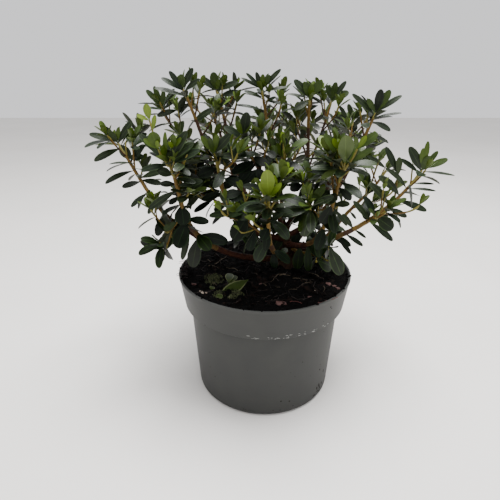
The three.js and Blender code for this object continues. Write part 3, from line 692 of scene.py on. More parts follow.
def pot_material():
    """Grey moulded plastic, a little rubbed, with painted shade that darkens it towards the foot
    and a painted highlight that makes its lip paler."""
    material = finish("pot_plastic")
    tree = material.node_tree
    shader = tree.nodes["Principled BSDF"]
    base = shader.inputs["Base Color"].links[0].from_socket
    where = tree.nodes.new("ShaderNodeTexCoord")
    split = tree.nodes.new("ShaderNodeSeparateXYZ")
    tree.links.new(where.outputs["Object"], split.inputs["Vector"])
    height = split.outputs["Z"]
    # Painted shade: the wall darkens towards the foot, where shade falls
    foot_shade = add_range(tree, height, {"From Min": FOOT_SHADE_HEIGHT * MM, "From Max": 0, "To Max": FOOT_SHADE_MOST})
    # Painted highlight: the rounded lip is paler where it catches the light
    low, high = ((POT_HEIGHT - POT_LIP + over) * MM for over in LIP_HIGHLIGHT_BETWEEN)
    lip_highlight = add_range(tree, height, {"From Min": low, "From Max": high})
    foot_shaded = add_coat(tree, foot_shade, base, FOOT_SHADE_COLOUR)
    tree.links.new(add_coat(tree, lip_highlight, foot_shaded, LIP_HIGHLIGHT_COLOUR), shader.inputs["Base Color"])
    return material


# Leaves

LEAF_ROWS = (0, 0.1, 0.24, 0.42, 0.6, 0.78, 0.91, 0.975, 1)
LEAF_COLUMNS = (-1, -0.84, -0.05, 0.05, 0.84, 1)
MARGIN_COLUMNS = (-1, -0.78, -0.3, 0.3, 0.78, 1)
UNDER_COLUMNS = (-1, 0, 1)
RIB_ONLY = (2,)
EDGES_ONLY = (0, 4)
# An old leaf's pale edge strips are partly its own margin and partly a painted highlight
RIB_AND_LIT_EDGES = (0, 2, 4)
STALK_HALF_WIDTH = 0.05
WEDGE_POWER = 1.25
LEAF_THICKNESS = 0.022
RIB_DEPTH = 0.02


def half_width(along, widest):
    """Half the width of a leaf of unit width: a narrow stalk, a wedge, a rounded tip."""
    if along > widest:
        return 0.5 * math.sqrt(1 - ((along - widest) / (1 - widest)) ** 2)
    swell = math.sin(math.pi / 2 * along / widest) ** WEDGE_POWER
    return max(STALK_HALF_WIDTH, 0.5 * swell)


def leaf_point(side, across, along, widest):
    """A point of a flat leaf. Side is 1 on its upper face and -1 on its underside."""
    full = math.sin(math.pi * along)
    off = side * LEAF_THICKNESS / 2 * (1 - abs(across)) * full ** 0.5
    if side < 0 and across == 0:
        off -= RIB_DEPTH * full
    return across * half_width(along, widest), along, off


def leaf_pattern(widest, columns, marked_strips):
    """One flat leaf, a unit long and wide, whose faces above and below meet at its edge.
    Slot 0 is the upper face, 1 its marked strips, such as the rib, and 2 the underside."""
    bm = bmesh.new()
    rows = len(LEAF_ROWS) - 1
    for side, spread in ((1, columns), (-1, UNDER_COLUMNS)):
        count = len(spread) - 1
        grid = bmesh.ops.create_grid(bm, x_segments=count, y_segments=rows, size=0.5)["verts"]
        faces = {face for vert in grid for face in vert.link_faces}
        for face in faces:
            strip = round((face.calc_center_median().x + 0.5) * count - 0.5)
            face.material_index = 2 if side < 0 else int(strip in marked_strips)
        if side < 0:
            bmesh.ops.reverse_faces(bm, faces=list(faces))
        for vert in grid:
            across = spread[round((vert.co.x + 0.5) * count)]
            along = LEAF_ROWS[round((vert.co.y + 0.5) * rows)]
            vert.co = leaf_point(side, across, along, widest)
    bmesh.ops.remove_doubles(bm, verts=bm.verts, dist=MERGE_WITHIN)
    return pattern_of(bm)


class Leaves:
    """Leaves of one shape and colour, gathered to be made as one mesh. Their materials
    are those of the upper face, of its marked strips and of the underside."""

    def __init__(self, widest, columns, marked_strips, materials):
        self.pattern = leaf_pattern(widest, columns, marked_strips)
        self.materials = materials
        self.rows = []

    def add(self, root, way, face, length, width, bend, fold, twist):
        # Triples all through, so that the rows make one array
        self.rows.append((root, way, face, (length, width, bend), (fold, twist, 0)))

    def bent_points(self):
        """Every leaf's points: bent along an arc, folded at its rib and twisted."""
        rows = np.array(self.rows)
        root, way, face, sizes, form = (rows[:, i, :] for i in range(5))
        side = np.cross(face, way)
        length, width, bend = (sizes[:, i, None] for i in range(3))
        fold, twist = (form[:, i, None] for i in range(2))
        points = self.pattern[0]
        across, along, off = points[:, 0][None], points[:, 1][None], points[:, 2][None]
        angle = bend * along
        ahead = length * np.sin(angle) / bend
        down = length * (1 - np.cos(angle)) / bend
        rise = off * length + fold * np.abs(across) * width
        slant = twist * along
        reach = across * width
        sideways = reach * np.cos(slant) - rise * np.sin(slant)
        outward = reach * np.sin(slant) + rise * np.cos(slant)
        ahead = ahead + outward * np.sin(angle)
        above = outward * np.cos(angle) - down
        return (
            root[:, None, :]
            + way[:, None, :] * ahead[..., None]
            + side[:, None, :] * sideways[..., None]
            + face[:, None, :] * above[..., None]
        )

    def make(self, name):
        return joined_copies(name, self.pattern, self.bent_points(), self.materials)


# Leaves of a shoot, from its tip down: how many in its heart, its two whorls and its stem
WHORLS = {"main": (3, 4, 5, 13), "side": (3, 4, 5, 4), "fine": (2, 3, 3, 0)}
LOW_WHORLS = (1, 2, 3)
LEAF_SIZES = {"main": 1.04, "side": 1.02, "fine": 0.94}
OLD_KINDS = ("old_a", "old_b", "old_c")
SHADE_KINDS = ("shade_a", "shade_b", "shade_c")
FRESH_A_SHARE = 0.5
YOUNG_A_SHARE = 0.55
FINE_FRESH_SHARE = 0.5
LOW_SHOOT = 66
SHADED_BELOW = 88
GOLDEN_TURN = 137.5
LOOKS_UP = 0.6
# The leaves of low shoots hang, by so many degrees for each millimetre below this height
HANG_BELOW = 105
HANG_PER_MM = 0.5
# High leaves are narrower: the height where that starts, and the share that they lose
NARROW_FROM = 110
NARROW_OVER = 70
NARROW_BY = 0.24
# High shoots stand their whorls up more, and keep this share of the leaves on their stem
HIGH_UPRIGHT = 7
HIGH_STEM = 0.55
HIGH_STEM_TO = 38
# and have so many more young leaves in their hearts
HIGH_HEARTS = 3
# Masses with a smaller share of leaves than this have no bright hearts
SPARSE_HEARTS = 0.3
# Sizes of the leaves of each whorl: the way back from the tip of the first and what
# each next one adds, length, width as a share of it, lean, bend and fold. A pair but
# for the first is the least value and how much chance may add.
HEART = {"back": (0.2, 0.5), "length": (10, 5), "width": 0.38, "bend": 6, "fold": 0.4}
INNER = {"back": (2, 0.8), "length": (17, 4.5), "width": 0.4, "lean": (24, 13), "bend": 16, "fold": 0.28}
OUTER = {"back": (4.5, 1.4), "length": (21, 5.5), "width": (0.35, 0.1), "bend": (12, 24), "fold": 0.18}
STEM = {"back": (14, 5.2), "length": (22, 5), "width": (0.33, 0.09), "bend": (12, 46), "fold": 0.12}
HANGING = {"length": (20, 7), "width": (0.44, 0.14), "lean": (85, 40), "bend": (12, 20), "fold": 0.06}
# The least lean, what each next leaf adds, and how much chance may add
HEART_LEAN = (9, 7)
OUTER_LEAN = (44, 3.5, 14)
STEM_LEAN = (62, 2.2, 16)
# Turns past a leaf's even place round the shoot, and shares of the hang
INNER_TURN = (0.5, 0.3)
INNER_SPARED = 0.35
INNER_HANGS = 0.2
OUTER_TURN = 0.4
OUTER_HANGS = 0.4
OUTER_FRESH_SHARE = 0.5
STEM_ENDS = 0.93
STEM_TURN = 60
STEM_MORE_APART = 0.4
# Leaves low on a stem are mature: broader by a share of their length, and flatter
MATURE_FROM = 95
MATURE_OVER = 50
MATURE_BROADER = 0.2
MATURE_FLATTER = 0.1
MOST_LEAF_LENGTH = 34
TWIST_SPREAD = 30
# Where there is no room a leaf tries to stand by so many degrees beside its place
NUDGES = (0, 25, -25, 50, -50)
NEAREST_FOOT = 0.03
# The shares of a leaf's length where its middle must have room
MIDLINE = (0.45, 0.65, 0.85, 1.0)
CLEAR_OF_RIM = 2.5
CLEAR_ABOVE_RIM = 1.5
CLEAR_OF_LIMBS = 0.8
CLEAR_OF_SINGLES = 2.9
# How near the middle of one leaf may come to that of another
LEAVES_APART = 2.6
NEIGHBOURS = list(itertools.product((-1, 0, 1), repeat=3))
# Old leaves hang from the outer part of each bough, clear of the mix
BOUGH_LEAF_FROM = 0.5
BARE_TO = {"left_low": 0.96}
BOUGH_LEAF_STEP = 6.5
BOUGH_LEAF_LOWEST = 34
SHORTEST_HANGING = 12
LEAF_SHINE = 0.2
SHADE_SHINE = 0.1
FALLEN_SHINE = 0.1
# The rib, and an old leaf's edges, are lighter than its face by these. The edges are partly the leaf's own
# paler margin and partly a painted highlight of the light that catches them
OLD_RIB_GAIN = 1.7
YOUNG_RIB_GAIN = 1.1
RIB_LIFT = 6
UNDER_OLD = ((42, 49, 33), (54, 61, 42))
UNDER_YOUNG = ((62, 78, 20), (78, 94, 30))
# Darkest and lightest colour of a kind's upper face, and where it is widest
LEAF_FINISHES = {
    "young_a": ((72, 92, 6), (90, 110, 16), 0.62),
    "young_b": ((48, 66, 8), (65, 83, 15), 0.62),
    "fresh_a": ((36, 51, 11), (50, 66, 18), 0.63),
    "fresh_b": ((29, 42, 13), (41, 55, 19), 0.63),
    "old_a": ((13, 23, 9), (23, 33, 15), 0.6),
    "old_b": ((18, 27, 12), (30, 39, 20), 0.58),
    "old_c": ((9, 16, 6), (17, 24, 10), 0.6),
    "shade_a": ((5, 13, 5), (11, 21, 8), 0.58),
    "shade_b": ((8, 14, 6), (14, 21, 11), 0.56),
    "shade_c": ((11, 21, 5), (20, 32, 9), 0.58),
    "bright": ((90, 108, 30), (104, 122, 44), 0.64),
    "pale": ((62, 76, 34), (72, 86, 42), 0.6),
}


def drawn(limits, random):
    """A number by chance, from the least value and how much may come on top of it."""
    least, added = limits
    return least + added * random()


def pick(kinds, random):
    return kinds[int(random() * len(kinds))]


def cell_of(point):
    return tuple(math.floor(value / LEAVES_APART) for value in point)


def midline(root, way, face, length, bend):
    """Points along the middle of a leaf."""
    for along in MIDLINE:
        angle = bend * along
        yield root + way * length * math.sin(angle) / bend - face * length * (1 - math.cos(angle)) / bend


class ShootLook:
    """What the leaves of one shoot have in common."""

    def __init__(self, shoot, random, fullness):
        tip_height = shoot.knots[3][2] - SOIL_TOP
        self.fullness = fullness
        self.size = LEAF_SIZES[shoot.grade]
        self.high = tip_height > HIGH_TIP
        self.hang = HANG_PER_MM * max(0, HANG_BELOW - tip_height)
        self.slim = 1 - NARROW_BY * min(1, max(0, (tip_height - NARROW_FROM) / NARROW_OVER))
        self.upright = HIGH_UPRIGHT if self.high else 0
        self.turn = random() * math.tau
        self.hearts, self.inner, self.outer, self.stem = WHORLS[shoot.grade]
        self.choose_kinds(shoot.grade, tip_height, random)
        if tip_height < LOW_SHOOT:
            self.heart, self.fresh = self.old, self.old
            self.hearts, self.inner, self.outer = LOW_WHORLS
        if self.high:
            self.hearts += HIGH_HEARTS

    def choose_kinds(self, grade, tip_height, random):
        self.old = pick(SHADE_KINDS if tip_height < SHADED_BELOW else OLD_KINDS, random)
        self.fresh = "fresh_a" if random() < FRESH_A_SHARE else "fresh_b"
        self.heart = "young_a" if random() < YOUNG_A_SHARE else "young_b"
        if grade == "fine" and random() < FINE_FRESH_SHARE:
            self.heart = "fresh_a"
        if self.high:
            self.heart = "young_b" if self.heart == "young_a" else "fresh_a"
        if self.fullness < SPARSE_HEARTS:
            self.heart = "fresh_a"


class LeafRule:
    """Where leaves stand on a shoot, and which of them have room."""

    def __init__(self, limbs, kinds):
        self.kinds = kinds
        marks = [(limb.marks(), limb) for limb in limbs.values()]
        radii = [limb.radius(np.linspace(0, 1, len(points))) for points, limb in marks]
        self.limb_points = np.concatenate([points for points, _ in marks])
        self.limb_radii = np.concatenate(radii)
        self.gaps = np.array(CROWN_GAPS)
        self.filled = {}

    def crowded(self, points):
        """Whether another leaf runs through any of the points."""
        for point in points:
            cell = cell_of(point)
            for step in NEIGHBOURS:
                near = (cell[0] + step[0], cell[1] + step[1], cell[2] + step[2])
                if any(math.dist(point, other) < LEAVES_APART for other in self.filled.get(near, ())):
                    return True
        return False

    def fill(self, points):
        for point in points:
            self.filled.setdefault(cell_of(point), []).append(point)

    def keep_clear_of_singles(self):
        """Notes where the leaves that are placed singly lie, so that no other cuts them."""
        placed = [leaves for leaves in self.kinds.values() if leaves.rows]
        self.single_points = np.concatenate([leaves.bent_points().reshape(-1, 3) for leaves in placed])
        middles, reaches = [], []
        for leaves in placed:
            for root, way, face, (length, width, bend), _ in leaves.rows:
                middle = list(midline(root, way, face, length, bend))
                middles += middle
                reaches += [width / 2] * len(middle)
        self.seen_pixels, self.seen_depths = on_photo(middles)
        self.seen_reaches = np.array(reaches) * FOCAL_PIXELS / self.seen_depths + SEEN_CLEAR

    def hides_single(self, points):
        """Whether a leaf would stand in front of one that is placed singly."""
        pixels, depths = on_photo(points)
        off = np.linalg.norm(self.seen_pixels[None] - pixels[:, None], axis=2)
        return bool(((off < self.seen_reaches[None]) & (depths[:, None] < self.seen_depths[None])).any())

    def closes_gap(self, points):
        """Whether a leaf would show in a gap of the crown."""
        pixels = on_photo(points)[0]
        off = np.linalg.norm(self.gaps[None, :, :2] - pixels[:, None], axis=2)
        return bool((off < self.gaps[None, :, 2] + GAP_CLEAR).any())

    def may_stand(self, points):
        return not (self.crowded(points) or self.hides_single(points) or self.closes_gap(points))

    def fits(self, points):
        """Whether a leaf stays clear of the pot, the limbs and the leaves placed singly."""
        for point in points:
            over_pot = math.hypot(point[0], point[1]) < POT_RIM_RADIUS + CLEAR_OF_RIM
            if over_pot and point[2] < POT_HEIGHT + CLEAR_ABOVE_RIM:
                return False
            gaps = np.linalg.norm(self.limb_points - point, axis=1) - self.limb_radii
            if gaps.min() < CLEAR_OF_LIMBS or nearest(point, self.single_points) < CLEAR_OF_SINGLES:
                return False
        return True

    def add(self, kind, shoot, stand, form, random, heart=False):
        """Adds a leaf where there is room for it. It stands by a way back from the tip, a
        turn and a lean, and its form is its length, width, bend and fold."""
        back, turn, lean = stand
        length, width, bend, fold = form
        arc = math.radians(bend)
        root, axis = shoot.place(max(NEAREST_FOOT, 1 - back / shoot.length))
        for nudge in NUDGES:
            way = leaning(axis, turn + math.radians(nudge), math.radians(lean))
            face = axis + UP * LOOKS_UP
            face = unit(face - way * face.dot(way))
            points = list(midline(root, way, face, length, arc))
            if self.fits(points) and (heart or self.may_stand(points)):
                self.fill(points)
                twist = math.radians(TWIST_SPREAD) * (random() - 0.5)
                self.kinds[kind].add(root, way, face, length, width, arc, fold, twist)
                return

    def hang_from(self, bough, random, along):
        """The old leaves along the outer part of a bough."""
        turn = random() * math.tau
        while along < 1:
            turn += math.radians(GOLDEN_TURN)
            room = bough.place(along)[0][2] - SOIL_TOP - BOUGH_LEAF_LOWEST
            length = min(drawn(HANGING["length"], random), max(SHORTEST_HANGING, room + SHORTEST_HANGING))
            width = length * drawn(HANGING["width"], random)
            kind = pick(SHADE_KINDS, random)
            stand = (bough.length * (1 - along), turn, drawn(HANGING["lean"], random))
            form = (length, width, drawn(HANGING["bend"], random), HANGING["fold"])
            self.add(kind, bough, stand, form, random)
            along += BOUGH_LEAF_STEP / bough.length

    def dress(self, shoot, random, fullness):
        """The leaves of one shoot: a heart of young ones, two whorls, and a stem of old ones."""
        look = ShootLook(shoot, random, fullness)
        self.add_heart(shoot, look, random)
        self.add_inner_whorl(shoot, look, random)
        self.add_outer_whorl(shoot, look, random)
        self.add_stem(shoot, look, random)

    def add_heart(self, shoot, look, random):
        first, more = HEART["back"]
        for i in range(look.hearts):
            turn = look.turn + i * math.radians(GOLDEN_TURN)
            length = look.size * drawn(HEART["length"], random)
            stand = (first + more * i, turn, HEART_LEAN[0] + HEART_LEAN[1] * i)
            form = (length, length * HEART["width"], HEART["bend"], HEART["fold"])
            self.add(look.heart, shoot, stand, form, random, heart=True)

    def add_inner_whorl(self, shoot, look, random):
        """Fresh leaves, but for a young one and an old one."""
        first, more = INNER["back"]
        for i in range(look.inner):
            turn = look.turn + drawn((i + INNER_TURN[0], INNER_TURN[1]), random) * math.tau / look.inner
            length = look.size * drawn(INNER["length"], random)
            lean = drawn(INNER["lean"], random) + look.hang * INNER_HANGS - look.upright
            if random() > look.fullness + INNER_SPARED:
                continue
            kind = {0: look.heart, 3: look.old}.get(i, look.fresh)
            form = (length, length * INNER["width"] * look.slim, INNER["bend"], INNER["fold"])
            self.add(kind, shoot, (first + more * i, turn, lean), form, random)

    def add_outer_whorl(self, shoot, look, random):
        """Old leaves, of which the first may be fresh."""
        first, more = OUTER["back"]
        least_lean, more_lean, lean_spread = OUTER_LEAN
        for i in range(look.outer):
            if random() > look.fullness:
                continue
            turn = look.turn + drawn((i, OUTER_TURN), random) * math.tau / look.outer
            length = look.size * drawn(OUTER["length"], random)
            width = length * drawn(OUTER["width"], random) * look.slim
            lean = drawn((least_lean + more_lean * i, lean_spread), random)
            lean += look.hang * OUTER_HANGS
            lean -= look.upright
            kind = look.fresh if i == 0 and random() < OUTER_FRESH_SHARE else look.old
            form = (length, width, drawn(OUTER["bend"], random), OUTER["fold"])
            self.add(kind, shoot, (first + more * i, turn, lean), form, random)

    def add_stem(self, shoot, look, random):
        """Old leaves down the stem, wider apart and more mature the lower they are."""
        back, apart = STEM["back"]
        least_lean, more_lean, lean_spread = STEM_LEAN
        for i in range(look.stem):
            if back > shoot.length * STEM_ENDS:
                break
            height = shoot.place(1 - back / shoot.length)[0][2] - SOIL_TOP
            mature = min(1, max(0, (MATURE_FROM - height) / MATURE_OVER))
            turn = look.turn + math.radians(STEM_TURN + GOLDEN_TURN * i)
            length = look.size * drawn(STEM["length"], random)
            width = length * (drawn(STEM["width"], random) + MATURE_BROADER * mature) * look.slim
            lean = drawn((least_lean + more_lean * i, lean_spread), random) + look.hang
            form = (length, width, drawn(STEM["bend"], random), STEM["fold"] - MATURE_FLATTER * mature)
            share = look.fullness * HIGH_STEM if look.high and back < HIGH_STEM_TO else look.fullness
            if random() < share:
                self.add(look.old, shoot, (back, turn, lean), form, random)
            back += apart + STEM_MORE_APART * i


# Leaves that show singly: kind, foot, tip, width, bend, and how far the upper face
# turns from up (0) to the front (1)
FEATURE_LEAVES = [
    # the front right whorl with its broad pale leaf
    ("pale", (62, -80, 273), (57, -92, 296), 13.5, 12, 1),
    ("young_a", (70, -81, 284), (75, -85, 295), 4.6, 12, 1),
    ("young_a", (55, -81, 282), (49, -85, 293), 4.4, 12, 1),
    ("young_a", (56, -81, 280), (54, -87, 292), 4.2, 12, 1),
    ("young_b", (69, -80, 282), (66, -86, 294), 4.4, 12, 1),
    ("fresh_a", (70, -80, 281), (84, -84, 297), 7.5, 16, 0.8),
    ("fresh_a", (55, -80, 280), (42, -83, 296), 7, 18, 0.8),
    ("fresh_a", (66, -78, 274), (82, -83, 285), 5.5, 16, 0.7),
    ("fresh_b", (66, -78, 273), (88, -80, 272), 7, 20, 0.5),
    ("pale", (59, -76, 267), (43, -80, 260), 6.5, 30, 0.5),
    ("old_b", (58, -76, 266), (34, -80, 268), 7, 24, 0.4),
    ("old_b", (62, -76, 268), (82, -80, 263), 6.5, 30, 0.5),
    # the low front whorl with a bright leaf
    ("bright", (1, -91, 247), (-3, -98, 271), 11.5, 16, 1),
    ("bright", (-1, -91, 247), (-9, -96, 260), 4.8, 12, 1),
    ("young_a", (3, -91, 248), (9, -95, 260), 5, 12, 1),
    # the left front whorl
    ("young_b", (-95, -53, 279), (-99, -58, 295), 11, 12, 1),
    ("young_b", (-96, -54, 279), (-107, -57, 289), 5.5, 16, 0.9),
    ("young_a", (-95, -53, 279), (-95, -59, 288), 3.8, 12, 1),
    ("young_b", (-90, -51, 270), (-88, -57, 295), 4.2, 12, 1),
    ("young_b", (-83, -51, 279), (-81, -57, 293), 5.5, 12, 1),
    ("young_b", (-84, -51, 279), (-75, -55, 290), 4.4, 14, 0.9),
    ("young_a", (-84, -50, 278), (-86, -57, 287), 3.8, 12, 1),
    ("young_b", (-90, -51, 270), (-92, -58, 284), 4, 12, 1),
    ("old_b", (-88, -49, 268), (-66, -52, 285), 8.5, 20, 0.8),
    ("bright", (-103, -46, 302), (-104, -49, 317), 7, 12, 1),
    ("bright", (-102, -46, 299), (-113, -49, 308), 4, 24, 1),
    ("bright", (-102, -46, 298), (-97, -49, 308), 4.4, 14, 1),
    ("young_b", (37, -62, 235), (30, -68, 252), 8, 14, 1),
    ("fresh_a", (38, -62, 235), (49, -67, 250), 7.5, 14, 1),
    # the topmost leaves
    ("old_b", (109, 10, 306), (131, 6, 322), 6, 16, 0.7),
    ("fresh_a", (109, 10, 306), (119, 6, 327), 8, 12, 0.9),
    ("old_a", (105, 8, 298), (124, 5, 289), 8, 20, 0.6), ("old_b", (102, 9, 286), (124, 6, 277), 7, 24, 0.4),
    ("old_b", (44, 20, 319), (27, 17, 336), 8.5, 14, 0.9),
    ("old_b", (69, 40, 316), (83, 38, 335), 6, 14, 0.9),
]
